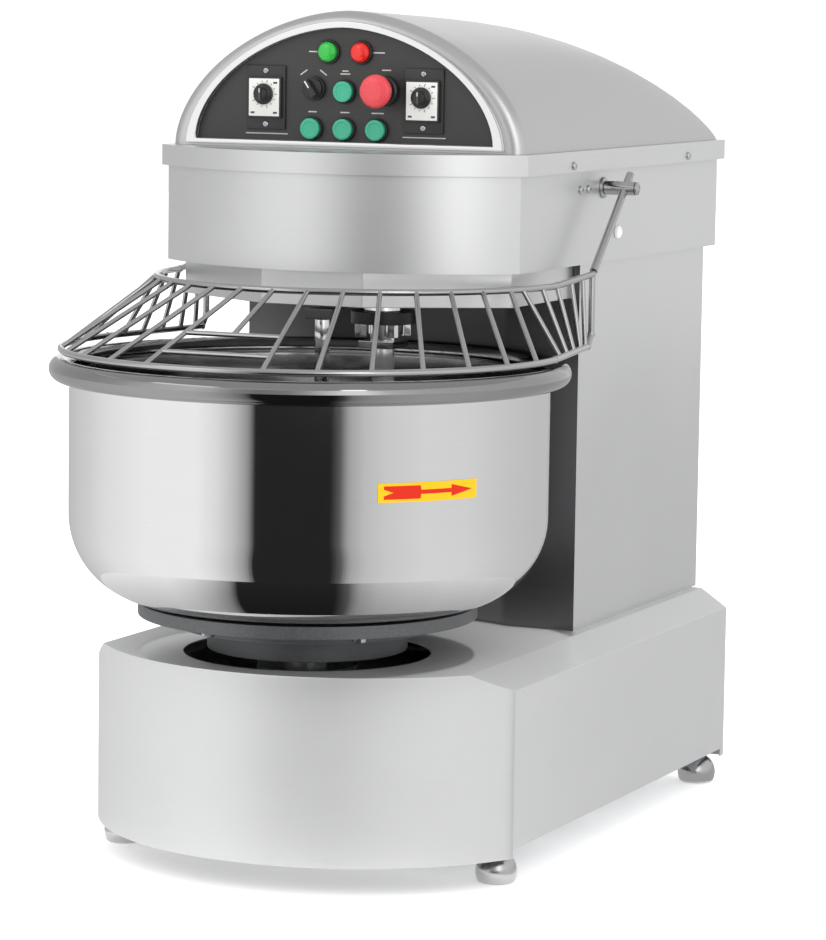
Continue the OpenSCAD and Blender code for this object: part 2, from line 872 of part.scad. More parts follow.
// A point of the guard's upper wire on the +X side, at y.
function up_side(y) = y < guard_up_y
  ? [sqrt(pow(guard_up_r, 2) - pow(y - guard_up_y, 2)), y, guard_up_z]
  : mix(up_start, up_end, (y - guard_up_y) / (guard_end_y - guard_up_y));

// One side of the guard, drawn on the +X side.
module guard_side() {
  low_corner = [guard_end_x, guard_end_y, guard_low_z + 14];
  rod_ball(low_start, low_end, ring_wire_r);
  rod_ball(low_end, low_corner, ring_wire_r);
  rod_ball(low_corner, up_end, ring_wire_r);
  rod_ball(up_end, up_start, ring_wire_r);
  translate(low_start) sphere(ring_wire_r + weld, $fn = 24);
  for (y = guard_bar_y)
    rod(mix(low_start, low_end, (y - low_start[1]) / (low_end[1] - low_start[1])), up_side(y), spoke_r);
}

module guard_cage() {
  color(polished_colour) on_axis() {
    translate([0, guard_low_y, guard_low_z]) rotate([0, 0, 180 - low_turn])
      rotate_extrude(angle = 180 + 2 * low_turn) translate([guard_low_r, 0]) circle(ring_wire_r, $fn = 24);
    translate([0, guard_up_y, guard_up_z]) rotate([0, 0, 180])
      rotate_extrude(angle = 180) translate([guard_up_r, 0]) circle(ring_wire_r, $fn = 24);
    for (k = [1 : spokes], s = [-1, 1]) rod(low_point(s * k), up_point(s * k), spoke_r);
    rod(mix(spoke_point(-1, chute_top), spoke_point(1, chute_top), 0.5), up_point(0), spoke_r);
    for (t = [chute_low, chute_top]) rod(spoke_point(-1, t), spoke_point(1, t), spoke_r);
    guard_side();
    mirror([1, 0, 0]) guard_side();
  }
}

module guard_arms() {
  low = [guard_end_x, guard_end_y, guard_up_z + 9];
  top = [guard_end_x, pivot_y, pivot_z];
  d = (top - low) / norm(top - low);
  color(polished_colour) on_axis() for (s = [-1, 1]) scale([s, 1, 1]) difference() {
    union() {
      rod(low + d * (ring_wire_r + weld + gap), top + 24 * d, 5);
      translate([head_half_w + 4, pivot_y, pivot_z]) rotate([0, 90, 0]) cylinder(h = 39, r = 8.5);
    }
    translate([head_half_w - 20, pivot_y, pivot_z]) rotate([0, 90, 0])
      cylinder(h = 100, r = 5 + running_fit);
  }
}

module bowl() {
  rim_c = rim_r - rim_tube_r;
  color(polished_colour) on_axis() rotate_extrude() {
    difference() {
      union() {
        translate([bowl_r - bowl_corner_r, bowl_z + bowl_corner_r]) intersection() {
          circle(bowl_corner_r);
          translate([0, -bowl_corner_r]) square(bowl_corner_r);
        }
        translate([0, bowl_z]) square([bowl_r - bowl_corner_r, bowl_corner_r]);
        translate([0, bowl_z + bowl_corner_r]) square([bowl_r, rim_z - bowl_z - bowl_corner_r]);
      }
      translate([bowl_r - bowl_corner_r, bowl_z + bowl_corner_r]) intersection() {
        circle(bowl_corner_r - bowl_wall);
        translate([-tiny, -bowl_corner_r]) square(bowl_corner_r + tiny);
      }
      translate([-1, bowl_z + bowl_wall]) square([bowl_r - bowl_corner_r + 1, 400]);
      translate([0, bowl_z + bowl_corner_r]) square([bowl_r - bowl_wall, 400]);
    }
    difference() {
      translate([rim_c, rim_z]) circle(rim_tube_r);
      translate([rim_c, rim_z]) circle(rim_tube_r - bowl_wall);
      translate([0, rim_z - 40]) square([bowl_r - bowl_wall, 40]);
    }
  }
}

module bowl_carrier() {
  color(cast_colour) on_axis() difference() {
    union() {
      translate([0, 0, bowl_z - 16]) cylinder(h = 16 - gap, r = carrier_r);
      translate([0, 0, bowl_z - 56]) cylinder(h = 41, r = 120);
      translate([0, 0, bowl_z - 28]) cylinder(h = 13, r = 160);
    }
    translate([0, 0, bowl_z - 57]) cylinder(h = 30, r = bowl_shaft_r);
  }
}

module bowl_shaft() {
  color(polished_colour) on_axis() {
    translate([0, 0, shaft_low_z]) cylinder(h = bowl_z - 27 - shaft_low_z, r = bowl_shaft_r);
  }
}

module bowl_pulley() {
  color(cast_colour) on_axis() difference() {
    pulley(bowl_pulley_r, mid_belt_z, bowl_shaft_r + running_fit);
    for (a = [0 : 60 : 300])
      rotate(a) translate([105, 0, 0]) cylinder(h = 300, r = 32);
  }
}

module carrier_bolts() {
  color(polished_colour) on_axis() for (a = [15 : 60 : 345])
    rotate(a) translate([178, 0, bowl_z - 16 - 7 - gap]) cylinder(h = 7, r = 8, $fn = 6);
}

// An arrow that follows the bowl's wall.
module direction_arrow() {
  color([0.95, 0.72, 0.10]) on_axis() intersection() {
    difference() {
      cylinder(h = 600, r = bowl_r + gap + 0.6);
      translate([0, 0, -1]) cylinder(h = 602, r = bowl_r + gap);
    }
    linear_extrude(arrow_z + arrow_h) polygon([
      [0, 0], [400 * sin(arrow_a - arrow_span), -400 * cos(arrow_a - arrow_span)],
      [400 * sin(arrow_a), -400 * cos(arrow_a)],
      [400 * sin(arrow_a + arrow_span), -400 * cos(arrow_a + arrow_span)]
    ]);
    translate([0, 0, arrow_z]) cylinder(h = arrow_h, r = 400);
  }
}

hook_low_z = 350;
hook_turn_z = 540;
hook_top_z = 574;
hook_end_z = 612;
hook_start = 100;
hook_sweep = 100;
hook_bend = 26;

// The working turns, from the tip near the bowl's bottom (t = 0) up to t = 1.
function hook_low(t) = let (
  r = hook_r * (t < 0.15 ? mix(0.62, 1, sin(600 * t)) : 1),
  a = hook_start + 360 * hook_turns * t
) [r * cos(a), r * sin(a), mix(hook_low_z, hook_turn_z, t)];

// The neck that swings in towards the shaft.
function hook_neck(u) = let (
  r = mix(hook_bend, hook_r, cos(90 * u)),
  a = hook_start + 360 * hook_turns + hook_sweep * sin(90 * u)
) [r * cos(a), r * sin(a), mix(hook_turn_z, hook_top_z - hook_bend, sin(90 * u))];

// The quarter bend from the neck up into the shaft's own line.
function hook_rise(v) = let (
  r = hook_bend * (1 - sin(90 * v)),
  a = hook_start + 360 * hook_turns + hook_sweep
) [r * cos(a), r * sin(a), hook_top_z - hook_bend * cos(90 * v)];

module spiral_hook() {
  sides = 12;
  pts = [
    for (i = [0 : 44]) hook_low(i / 44),
    for (i = [1 : 14]) hook_neck(i / 14),
    for (i = [1 : 7]) hook_rise(i / 7),
    [0, 0, hook_end_z - 6],
    [0, 0, hook_end_z - gap]
  ];
  steps = len(pts) - 1;
  dirs = [for (i = [0 : steps]) let (a = pts[max(0, i - 1)], b = pts[min(steps, i + 1)]) (b - a) / norm(b - a)];
  ring = [for (i = [0 : steps]) hook_ring(pts[i], dirs[i], sides)];
  verts = [for (r = ring) each r];
  sidef = [
    for (i = [0 : steps - 1], j = [0 : sides - 1])
      let (a = i * sides + j, b = i * sides + (j + 1) % sides)
        [a, a + sides, b + sides, b]
  ];
  low_cap = [[for (j = [0 : sides - 1]) j]];
  top_cap = [[for (j = [sides - 1 : -1 : 0]) steps * sides + j]];
  color(polished_colour) on_axis() translate([spiral_x, spiral_y, 0])
    polyhedron(points = verts, faces = concat(sidef, low_cap, top_cap));
}

// A ring of points round c, square to the direction d.
function hook_ring(c, d, sides) = let (
  flat = cross(d, [0, 0, 1]),
  end_a = hook_start + 360 * hook_turns + hook_sweep,
  u = norm(flat) > tiny ? flat / norm(flat) : [-sin(end_a), cos(end_a), 0],
  v = cross(u, d)
) [for (j = [0 : sides - 1]) c + hook_bar_r * (cos(360 * j / sides) * u + sin(360 * j / sides) * v)];

module spiral_shaft() {
  color(polished_colour) on_axis() translate([spiral_x, spiral_y, 0]) {
    translate([-23, -23, hook_end_z]) cube([46, 46, 9]);
    translate([0, 0, hook_end_z + 8]) cylinder(h = 24, r = 16);
    translate([0, 0, hook_end_z + 30]) cylinder(h = 15, r = 40);
    translate([0, 0, hook_end_z + 45]) cylinder(h = top_belt_z + 20 - hook_end_z - 45, r = spiral_shaft_r);
    for (a = [45 : 90 : 315])
      rotate(a) translate([29, 0, hook_end_z + 14]) cylinder(h = 16 + tiny, r = 8, $fn = 6);
  }
}

module spiral_pulley() {
  color(cast_colour) on_axis() translate([spiral_x, spiral_y, 0]) difference() {
    pulley(spiral_pulley_r, top_belt_z, spiral_shaft_r + running_fit);
    for (a = [0 : 60 : 300])
      rotate(a) translate([85, 0, 0]) cylinder(h = 900, r = 26);
  }
}

module jack_shaft() {
  color(cast_colour) on_axis() translate([jack_x, jack_y, 0]) {
    translate([0, 0, shaft_low_z]) cylinder(h = 230 - shaft_low_z, r = shaft_r);
    pulley(jack_pulley_r, low_belt_z, 0);
    pulley(jack_pinion_r, mid_belt_z, 0);
  }
}

module counter_shaft() {
  color(cast_colour) on_axis() translate([0, counter_y, 0]) {
    translate([0, 0, shaft_low_z]) cylinder(h = top_belt_z + 22 - shaft_low_z, r = shaft_r);
    pulley(counter_pinion_r, low_belt_z, 0);
    pulley(counter_pulley_r, motor_belt_z, 0);
    pulley(counter_top_r, top_belt_z, 0);
  }
}

module motor_shaft() {
  color(cast_colour) on_axis() translate([0, motor_y, 0]) {
    translate([0, 0, 212]) cylinder(h = 250, r = motor_shaft_r);
    pulley(motor_pulley_r, motor_belt_z, 0);
  }
}

module drive_belts() {
  color(rubber_colour) on_axis() {
    belt_loop([0, 0], bowl_pulley_r, [jack_x, jack_y], jack_pinion_r, mid_belt_z);
    belt_loop([jack_x, jack_y], jack_pulley_r, [0, counter_y], counter_pinion_r, low_belt_z);
    belt_loop([0, counter_y], counter_pulley_r, [0, motor_y], motor_pulley_r, motor_belt_z);
    belt_loop([spiral_x, spiral_y], spiral_pulley_r, [0, counter_y], counter_top_r, top_belt_z);
  }
}

// A threaded levelling foot with a domed skirt.
module foot(x, y) {
  color(polished_colour) on_axis() translate([x, y, 0]) {
    intersection() {
      cylinder(h = 60, r = foot_r + 4);
      translate([0, 0, 13]) sphere(foot_r + 1);
    }
    translate([0, 0, 20]) cylinder(h = base_side_z - 18 - gap, r = 13);
    translate([0, 0, 20]) cylinder(h = 62, r = foot_stem_r);
  }
}

module foot_front_left() { foot(-foot_x, foot_front_y); }

module foot_front_right() { foot(foot_x, foot_front_y); }

module foot_rear_left() { foot(-foot_x, foot_rear_y); }

module foot_rear_right() { foot(foot_x, foot_rear_y); }

base_shell();
base_frame();
base_deck();
bearing_housings();
column_shell();
column_frame();
rear_cover();
motor();
motor_plate();
head_shell();
head_floor();
head_skirt();
breaker_bar();
hood();
hood_flange();
cover_screws();
panel_bezel();
panel_plate();
run_lamp();
power_lamp();
control_bezels();
start_button();
slow_button();
fast_button();
bowl_button();
stop_base();
stop_button();
selector_base();
selector_knob();
left_timer();
right_timer();
left_timer_dial();
right_timer_dial();
contactors();
cable_gland();
side_plugs();
guard_switch();
hinge_brackets();
guard_cage();
guard_arms();
bowl();
bowl_carrier();
bowl_shaft();
bowl_pulley();
carrier_bolts();
direction_arrow();
spiral_hook();
spiral_shaft();
spiral_pulley();
jack_shaft();
counter_shaft();
motor_shaft();
drive_belts();
foot_front_left();
foot_front_right();
foot_rear_left();
foot_rear_right();
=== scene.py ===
"""Spiral dough mixer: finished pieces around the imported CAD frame.

Lengths in the helpers are millimetres from the bowl's axis; at() turns them into
metres in the frame's own axes.
"""

import json
import math

import bmesh
import bpy
from mathutils import Matrix, Vector

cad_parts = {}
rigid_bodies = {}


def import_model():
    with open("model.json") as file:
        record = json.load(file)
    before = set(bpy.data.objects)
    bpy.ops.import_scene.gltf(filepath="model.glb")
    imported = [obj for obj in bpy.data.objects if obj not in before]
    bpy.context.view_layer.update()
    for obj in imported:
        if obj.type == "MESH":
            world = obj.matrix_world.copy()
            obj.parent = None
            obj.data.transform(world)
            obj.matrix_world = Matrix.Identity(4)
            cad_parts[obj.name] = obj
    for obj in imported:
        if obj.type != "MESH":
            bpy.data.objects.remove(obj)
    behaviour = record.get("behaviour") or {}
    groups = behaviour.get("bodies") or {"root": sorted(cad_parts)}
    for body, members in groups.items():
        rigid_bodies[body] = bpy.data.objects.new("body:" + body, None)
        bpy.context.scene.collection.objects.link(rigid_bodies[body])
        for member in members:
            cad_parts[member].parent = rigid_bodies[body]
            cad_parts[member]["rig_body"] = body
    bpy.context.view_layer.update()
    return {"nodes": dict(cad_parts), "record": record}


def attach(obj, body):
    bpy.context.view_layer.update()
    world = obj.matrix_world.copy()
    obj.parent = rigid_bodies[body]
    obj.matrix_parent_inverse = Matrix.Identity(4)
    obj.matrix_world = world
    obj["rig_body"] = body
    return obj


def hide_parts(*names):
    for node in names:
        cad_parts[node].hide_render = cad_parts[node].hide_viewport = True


MM = 0.001
AXIS_Y = -228.0

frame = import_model()
NODES = frame["nodes"]
BODY = {name: node["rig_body"] for name, node in NODES.items()}
SLOT = {part["node"]: part["material_slot"] for part in frame["record"]["subparts"]}


# ---------------------------------------------------------------- camera
def make_camera():
    place = Vector((2.02937, -4.50232, 1.03900))
    target = Vector((0.11282, -0.17800, 0.47640))
    roll = math.radians(0.831)
    back = (place - target).normalized()
    right = Vector((0, 0, 1)).cross(back).normalized()
    up = back.cross(right)
    turned_right = right * math.cos(roll) + up * math.sin(roll)
    turned_up = up * math.cos(roll) - right * math.sin(roll)
    data = bpy.data.cameras.new("camera")
    data.lens = 153.17
    data.sensor_width = 36.0
    data.clip_end = 100.0
    camera = bpy.data.objects.new("camera", data)
    bpy.context.scene.collection.objects.link(camera)
    axes = Matrix((turned_right, turned_up, back)).transposed().to_4x4()
    camera.matrix_world = Matrix.Translation(place) @ axes
    bpy.context.scene.camera = camera


make_camera()


# ---------------------------------------------------------------- materials
def link(tree, a, b):
    tree.links.new(a, b)


def grey(value):
    return (value, value, value, 1.0)


def rgba(colour):
    return (colour[0], colour[1], colour[2], 1.0)


def scaled(colour, factor):
    return tuple(min(1.0, c * factor) for c in colour[:3])


def material(
    name,
    colour,
    shade=0.08,
    metallic=0.0,
    rough=0.4,
    rough_span=0.08,
    grain=(600.0, 600.0, 600.0),
    blotch=9.0,
    bump=0.15,
    depth=0.0002,
    worn=None,
    **sockets,
):
    """A finish with fine grain, large soft blotches, varied roughness, bump, and worn edges."""
    made = bpy.data.materials.new(name)
    made.use_nodes = True
    tree = made.node_tree
    tree.nodes.clear()
    out = tree.nodes.new("ShaderNodeOutputMaterial")
    shader = tree.nodes.new("ShaderNodeBsdfPrincipled")
    link(tree, shader.outputs["BSDF"], out.inputs["Surface"])
    shader.inputs["Metallic"].default_value = metallic
    for socket, value in sockets.items():
        shader.inputs[socket.replace("_", " ")].default_value = value

    place = tree.nodes.new("ShaderNodeTexCoord")
    stretch = tree.nodes.new("ShaderNodeMapping")
    stretch.inputs["Scale"].default_value = grain
    link(tree, place.outputs["Object"], stretch.inputs["Vector"])
    fine = tree.nodes.new("ShaderNodeTexNoise")
    fine.inputs["Scale"].default_value = 1.0
    fine.inputs["Detail"].default_value = 3.0
    link(tree, stretch.outputs["Vector"], fine.inputs["Vector"])
    broad = tree.nodes.new("ShaderNodeTexNoise")
    broad.inputs["Scale"].default_value = blotch
    broad.inputs["Detail"].default_value = 4.0
    broad.inputs["Roughness"].default_value = 0.6
    link(tree, place.outputs["Object"], broad.inputs["Vector"])

    both = tree.nodes.new("ShaderNodeMath")
    both.operation = "MULTIPLY_ADD"
    both.inputs[1].default_value = 0.45
    link(tree, fine.outputs["Fac"], both.inputs[0])
    part = tree.nodes.new("ShaderNodeMath")
    part.operation = "MULTIPLY"
    part.inputs[1].default_value = 0.55
    link(tree, broad.outputs["Fac"], part.inputs[0])
    link(tree, part.outputs[0], both.inputs[2])

    ramp = tree.nodes.new("ShaderNodeValToRGB")
    ramp.color_ramp.elements[0].position = 0.32
    ramp.color_ramp.elements[0].color = rgba(scaled(colour, 1.0 - shade))
    ramp.color_ramp.elements[1].position = 0.68
    ramp.color_ramp.elements[1].color = rgba(scaled(colour, 1.0 + shade * 0.5))
    link(tree, both.outputs[0], ramp.inputs["Fac"])
    tint = ramp.outputs["Color"]
    if worn is not None:
        shape = tree.nodes.new("ShaderNodeNewGeometry")
        edge = tree.nodes.new("ShaderNodeMapRange")
        edge.inputs["From Min"].default_value = 0.53
        edge.inputs["From Max"].default_value = 0.62
        link(tree, shape.outputs["Pointiness"], edge.inputs["Value"])
        broken = tree.nodes.new("ShaderNodeMath")
        broken.operation = "MULTIPLY"
        link(tree, edge.outputs["Result"], broken.inputs[0])
        link(tree, fine.outputs["Fac"], broken.inputs[1])
        blend = tree.nodes.new("ShaderNodeMix")
        blend.data_type = "RGBA"
        link(tree, broken.outputs[0], blend.inputs["Factor"])
        link(tree, tint, blend.inputs["A"])
        blend.inputs["B"].default_value = rgba(worn)
        tint = blend.outputs["Result"]
    link(tree, tint, shader.inputs["Base Color"])

    spread = tree.nodes.new("ShaderNodeMapRange")
    spread.inputs["From Min"].default_value = 0.3
    spread.inputs["From Max"].default_value = 0.7
    spread.inputs["To Min"].default_value = max(0.02, rough - rough_span)
    spread.inputs["To Max"].default_value = rough + rough_span
    link(tree, both.outputs[0], spread.inputs["Value"])
    link(tree, spread.outputs["Result"], shader.inputs["Roughness"])

    relief = tree.nodes.new("ShaderNodeBump")
    relief.inputs["Strength"].default_value = bump
    relief.inputs["Distance"].default_value = depth
    link(tree, fine.outputs["Fac"], relief.inputs["Height"])
    link(tree, relief.outputs["Normal"], shader.inputs["Normal"])
    return made


BRUSHED = (14.0, 14.0, 1900.0)
FINISH = {
    "satin_steel": material(
        "satin_steel", (0.67, 0.673, 0.678), shade=0.04, metallic=0.88, rough=0.33,
        rough_span=0.05, grain=BRUSHED, bump=0.05, depth=0.0001, blotch=5.0,
    ),
    "hood_skin": material(
        "hood_skin", (0.60, 0.60, 0.605), shade=0.04, metallic=1.0, rough=0.36,
        rough_span=0.05, grain=(1400.0, 12.0, 900.0), bump=0.05, depth=0.0001, blotch=4.0,
    ),
    "polished_steel": material(
        "polished_steel", (0.80, 0.80, 0.805), shade=0.03, metallic=1.0, rough=0.055,
        rough_span=0.02, grain=(10.0, 10.0, 1500.0), bump=0.012, depth=0.00005, blotch=6.0,
    ),
    "wire_steel": material(
        "wire_steel", (0.50, 0.50, 0.505), shade=0.06, metallic=1.0, rough=0.16,
        rough_span=0.05, grain=(700.0, 700.0, 700.0), bump=0.04, depth=0.00005,
    ),
    "frame_paint": material(
        "frame_paint", (0.36, 0.38, 0.40), shade=0.14, rough=0.5, rough_span=0.1,
        grain=(420.0, 420.0, 420.0), bump=0.25, depth=0.0003, worn=(0.55, 0.55, 0.55),
    ),
    "cast_parts": material(
        "cast_parts", (0.13, 0.135, 0.14), shade=0.22, metallic=0.7, rough=0.48,
        rough_span=0.12, grain=(350.0, 350.0, 350.0), bump=0.45, depth=0.0005,
        worn=(0.5, 0.5, 0.5),
    ),
    "motor_paint": material(
        "motor_paint", (0.05, 0.11, 0.22), shade=0.15, rough=0.42, rough_span=0.1,
        grain=(420.0, 420.0, 420.0), bump=0.3, depth=0.0003, worn=(0.4, 0.4, 0.4),
    ),
    "panel_black": material(
        "panel_black", (0.035, 0.034, 0.033), shade=0.2, rough=0.42, rough_span=0.06,
        grain=(1500.0, 1500.0, 1500.0), bump=0.2, depth=0.0001, blotch=14.0,
    ),
    "control_black": material(
        "control_black", (0.018, 0.018, 0.019), shade=0.25, rough=0.34, rough_span=0.08,
        grain=(900.0, 900.0, 900.0), bump=0.2, depth=0.0001, worn=(0.09, 0.09, 0.09),
    ),
    "button_green": material(
        "button_green", (0.03, 0.42, 0.25), shade=0.12, rough=0.28, rough_span=0.07,
        grain=(800.0, 800.0, 800.0), bump=0.12, depth=0.0001,
        worn=(0.25, 0.6, 0.45), Coat_Weight=0.3,
    ),
    "stop_red": material(
        "stop_red", (0.70, 0.05, 0.065), shade=0.12, rough=0.26, rough_span=0.07,
        grain=(800.0, 800.0, 800.0), bump=0.12, depth=0.0001,
        worn=(0.8, 0.2, 0.18), Coat_Weight=0.3,
    ),
    "lens_green": material(
        "lens_green", (0.03, 0.50, 0.06), shade=0.2, rough=0.12, rough_span=0.05,
        grain=(500.0, 500.0, 500.0), bump=0.1, depth=0.0001,
        Coat_Weight=0.4, Transmission_Weight=0.1,
    ),
    "lens_red": material(
        "lens_red", (0.80, 0.016, 0.008), shade=0.2, rough=0.12, rough_span=0.05,
        grain=(500.0, 500.0, 500.0), bump=0.1, depth=0.0001,
        Coat_Weight=0.4, Transmission_Weight=0.1,
    ),
    "white_plastic": material(
        "white_plastic", (0.80, 0.80, 0.78), shade=0.05, rough=0.38, rough_span=0.08,
        grain=(700.0, 700.0, 700.0), bump=0.12, depth=0.0001,
    ),
    "belt_rubber": material(
        "belt_rubber", (0.022, 0.022, 0.022), shade=0.3, rough=0.72, rough_span=0.1,
        grain=(500.0, 500.0, 500.0), bump=0.5, depth=0.0004, worn=(0.07, 0.07, 0.07),
    ),
    "zinc_screws": material(
        "zinc_screws", (0.62, 0.63, 0.64), shade=0.12, metallic=1.0, rough=0.25,
        rough_span=0.1, grain=(900.0, 900.0, 900.0), bump=0.1, depth=0.0001,
    ),
    "label_yellow": material(
        "label_yellow", (0.84, 0.50, 0.012), shade=0.06, rough=0.55, rough_span=0.06,
        grain=(900.0, 900.0, 900.0), bump=0.08, depth=0.0001, Specular_IOR_Level=0.1,
    ),
}
BEAD_BLASTED = material(
    "bead_blasted", (0.66, 0.663, 0.668), shade=0.04, metallic=0.74, rough=0.50,
    rough_span=0.04, grain=BRUSHED, bump=0.04, depth=0.0001, blotch=5.0,
)
# Painted shade: a dark steel for the column's front faces, standing in for the shade and dark reflections
# there; the column's own steel is the satin steel of its sides.
PAINTED_SHADE_STEEL = material(
    "painted_shade_steel", (0.15, 0.15, 0.155), shade=0.08, metallic=1.0, rough=0.42,
    rough_span=0.06, grain=BRUSHED, bump=0.05, depth=0.0001, blotch=5.0,
)
# Painted shade: the bowl's inside takes a darker steel than its polished outside, standing in for the shade
# and dark reflections inside the bowl.
BOWL_INSIDE_PAINTED_SHADE = material(
    "bowl_inside_painted_shade", (0.52, 0.52, 0.525), shade=0.04, metallic=1.0, rough=0.11,
    rough_span=0.02, grain=(10.0, 10.0, 1500.0), bump=0.01, depth=0.00005, blotch=6.0,
)
HOOK_STEEL = material(
    "hook_steel", (0.80, 0.80, 0.805), shade=0.04, metallic=0.8, rough=0.18,
    rough_span=0.03, grain=(600.0, 600.0, 600.0), bump=0.02, depth=0.00005,
)
# Painted shade: the rolled rim takes a much darker steel than the polished bowl it is rolled from, standing
# in for dim reflections on the rim.
ROLLED_RIM_PAINTED_SHADE = material(
    "rolled_rim_painted_shade", (0.34, 0.34, 0.345), shade=0.05, metallic=1.0, rough=0.07,
    rough_span=0.02, grain=(300.0, 300.0, 900.0), bump=0.01, depth=0.00005,
)
FOOT_STEEL = material(
    "foot_steel", (0.52, 0.52, 0.525), shade=0.06, metallic=1.0, rough=0.22,
    rough_span=0.06, grain=(700.0, 700.0, 700.0), bump=0.05, depth=0.0001,
)
LABEL_RED = material(
    "label_red", (0.66, 0.025, 0.008), shade=0.08, rough=0.55, rough_span=0.06,
    grain=(900.0, 900.0, 900.0), bump=0.08, depth=0.0001, Specular_IOR_Level=0.1,
)
DIAL_WHITE = material(
    "dial_white", (0.74, 0.74, 0.71), shade=0.06, rough=0.45, rough_span=0.08,
    grain=(700.0, 700.0, 700.0), bump=0.1, depth=0.0001,
)
PRINT_PALE = material(
    "print_pale", (0.50, 0.50, 0.49), shade=0.15, rough=0.5, rough_span=0.08,
    grain=(900.0, 900.0, 900.0), bump=0.1, depth=0.0001,
)

for node_name, node in NODES.items():
    node.data.materials.clear()
    node.data.materials.append(FINISH[SLOT[node_name]])


# ---------------------------------------------------------------- mesh helpers
def at(x, y, z):
    return Vector((x * MM, (y + AXIS_Y) * MM, z * MM))


def smooth_faces(mesh, sharp_deg=32.0):
    limit = math.radians(sharp_deg)
    work = bmesh.new()
    work.from_mesh(mesh)
    for face in work.faces:
        face.smooth = True
    for edge in work.edges:
        if len(edge.link_faces) == 2:
            edge.smooth = edge.calc_face_angle(0.0) < limit
    work.to_mesh(mesh)
    work.free()


def piece(name, mesh, body, finish, replaces=(), sharp_deg=32.0):
    """Links a finished mesh as a named piece that rides on a body."""
    mesh.name = name
    if not mesh.materials:
        mesh.materials.append(finish)
    smooth_faces(mesh, sharp_deg)
    made = bpy.data.objects.new(name, mesh)
    bpy.context.scene.collection.objects.link(made)
    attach(made, body)
    if replaces:
        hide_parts(*replaces)
    return made


def mesh_from(verts, faces):
    mesh = bpy.data.meshes.new("mesh")
    mesh.from_pydata([tuple(v) for v in verts], [], faces)
    mesh.update()
    work = bmesh.new()
    work.from_mesh(mesh)
    bmesh.ops.remove_doubles(work, verts=work.verts, dist=1e-7)
    bmesh.ops.recalc_face_normals(work, faces=work.faces)
    work.to_mesh(mesh)
    work.free()
    return mesh


def joined(parts):
    """One mesh out of (verts, faces) lists."""
    verts, faces = [], []
    for part_verts, part_faces in parts:
        base = len(verts)
        verts += list(part_verts)
        faces += [tuple(i + base for i in face) for face in part_faces]
    return verts, faces


def refined(node_name, width, finish=None, other=None, zone=None, segments=2, limit_deg=30.0):
    """The CAD node's mesh with its flat faces whole again and its hard edges rounded.

    Faces for which zone(centre, normal) holds take the other finish."""
    source = NODES[node_name]
    work = bmesh.new()
    work.from_mesh(source.data)
    bmesh.ops.remove_doubles(work, verts=work.verts, dist=3e-6)
    bmesh.ops.dissolve_degenerate(work, edges=work.edges, dist=2e-6)
    bmesh.ops.dissolve_limit(
        work, angle_limit=math.radians(0.4), verts=work.verts, edges=work.edges
    )
    hard = [
        edge
        for edge in work.edges
        if len(edge.link_faces) == 2
        and edge.calc_face_angle(0.0) > math.radians(limit_deg)
    ]
    bmesh.ops.bevel(
        work,
        geom=hard,
        offset=width * MM,
        offset_type="OFFSET",
        segments=segments,
        profile=0.5,
        affect="EDGES",
        clamp_overlap=True,
        material=-1,
    )
    mesh = bpy.data.meshes.new(node_name)
    work.to_mesh(mesh)
    work.free()
    mesh.materials.append(finish or FINISH[SLOT[node_name]])
    if other is not None:
        mesh.materials.append(other)
        for face in mesh.polygons:
            centre = face.center / MM
            centre.y -= AXIS_Y
            face.material_index = 1 if zone(centre, face.normal) else 0
    made = piece(
        node_name + "_finished", mesh, BODY[node_name], None, (node_name,),
        40.0,
    )
    made.modifiers.new("flat_faces", "WEIGHTED_NORMAL").keep_sharp = True
    return made


def rounded(points, radius=0.5, steps=4):
    """An open profile with its inner corners rounded; a point may carry its own radius."""
    out = [Vector(points[0][:2])]
    for i in range(1, len(points) - 1):
        here = Vector(points[i][:2])
        own = points[i][2] if len(points[i]) > 2 else radius
        to_last = Vector(points[i - 1][:2]) - here
        to_next = Vector(points[i + 1][:2]) - here
        reach = min(to_last.length, to_next.length) * 0.48
        to_last.normalize()
        to_next.normalize()
        half = to_last.angle(to_next) / 2
        if own <= 0 or half > math.pi / 2 - 0.02:
            out.append(here)
            continue
        run = min(own / math.tan(half), reach)
        own = run * math.tan(half)
        centre = here + (to_last + to_next).normalized() * (own / math.sin(half))
        start, end = here + to_last * run - centre, here + to_next * run - centre
        for k in range(steps + 1):
            out.append(centre + start.slerp(end, k / steps) * own if own > 1e-9 else centre)
    out.append(Vector(points[-1][:2]))
    return out


def lathe(profile, place=Matrix.Identity(4), steps=64):
    """Turns a (radius, height) profile round local Z; ends on the axis close it."""
    verts, faces, rows = [], [], []
    for r, z in profile:
        if r < 1e-6:
            rows.append([len(verts)] * steps)
            verts.append(place @ Vector((0, 0, z)))
            continue
        rows.append(list(range(len(verts), len(verts) + steps)))
        for k in range(steps):
            a = 2 * math.pi * k / steps
            verts.append(place @ Vector((r * math.cos(a), r * math.sin(a), z)))
    for low, high in zip(rows, rows[1:]):
        for k in range(steps):
            n = (k + 1) % steps
            face = [low[k], low[n], high[n], high[k]]
            face = [v for i, v in enumerate(face) if v != face[i - 1]]
            if len(face) > 2:
                faces.append(tuple(face))
    return verts, faces


def turned(x, y, z):
    """Places a lathe upright on the bowl-axis frame."""
    return Matrix.Translation(at(x, y, z)) @ Matrix.Scale(MM, 4)


def on_panel(x, z, depth=0.0):
    """Local +Z points at the operator, from the panel's face."""
    axes = Matrix(((1, 0, 0, 0), (0, 0, -1, 0), (0, 1, 0, 0), (0, 0, 0, 1)))
    return Matrix.Translation(at(x, 88 - depth, z)) @ axes @ Matrix.Scale(MM, 4)


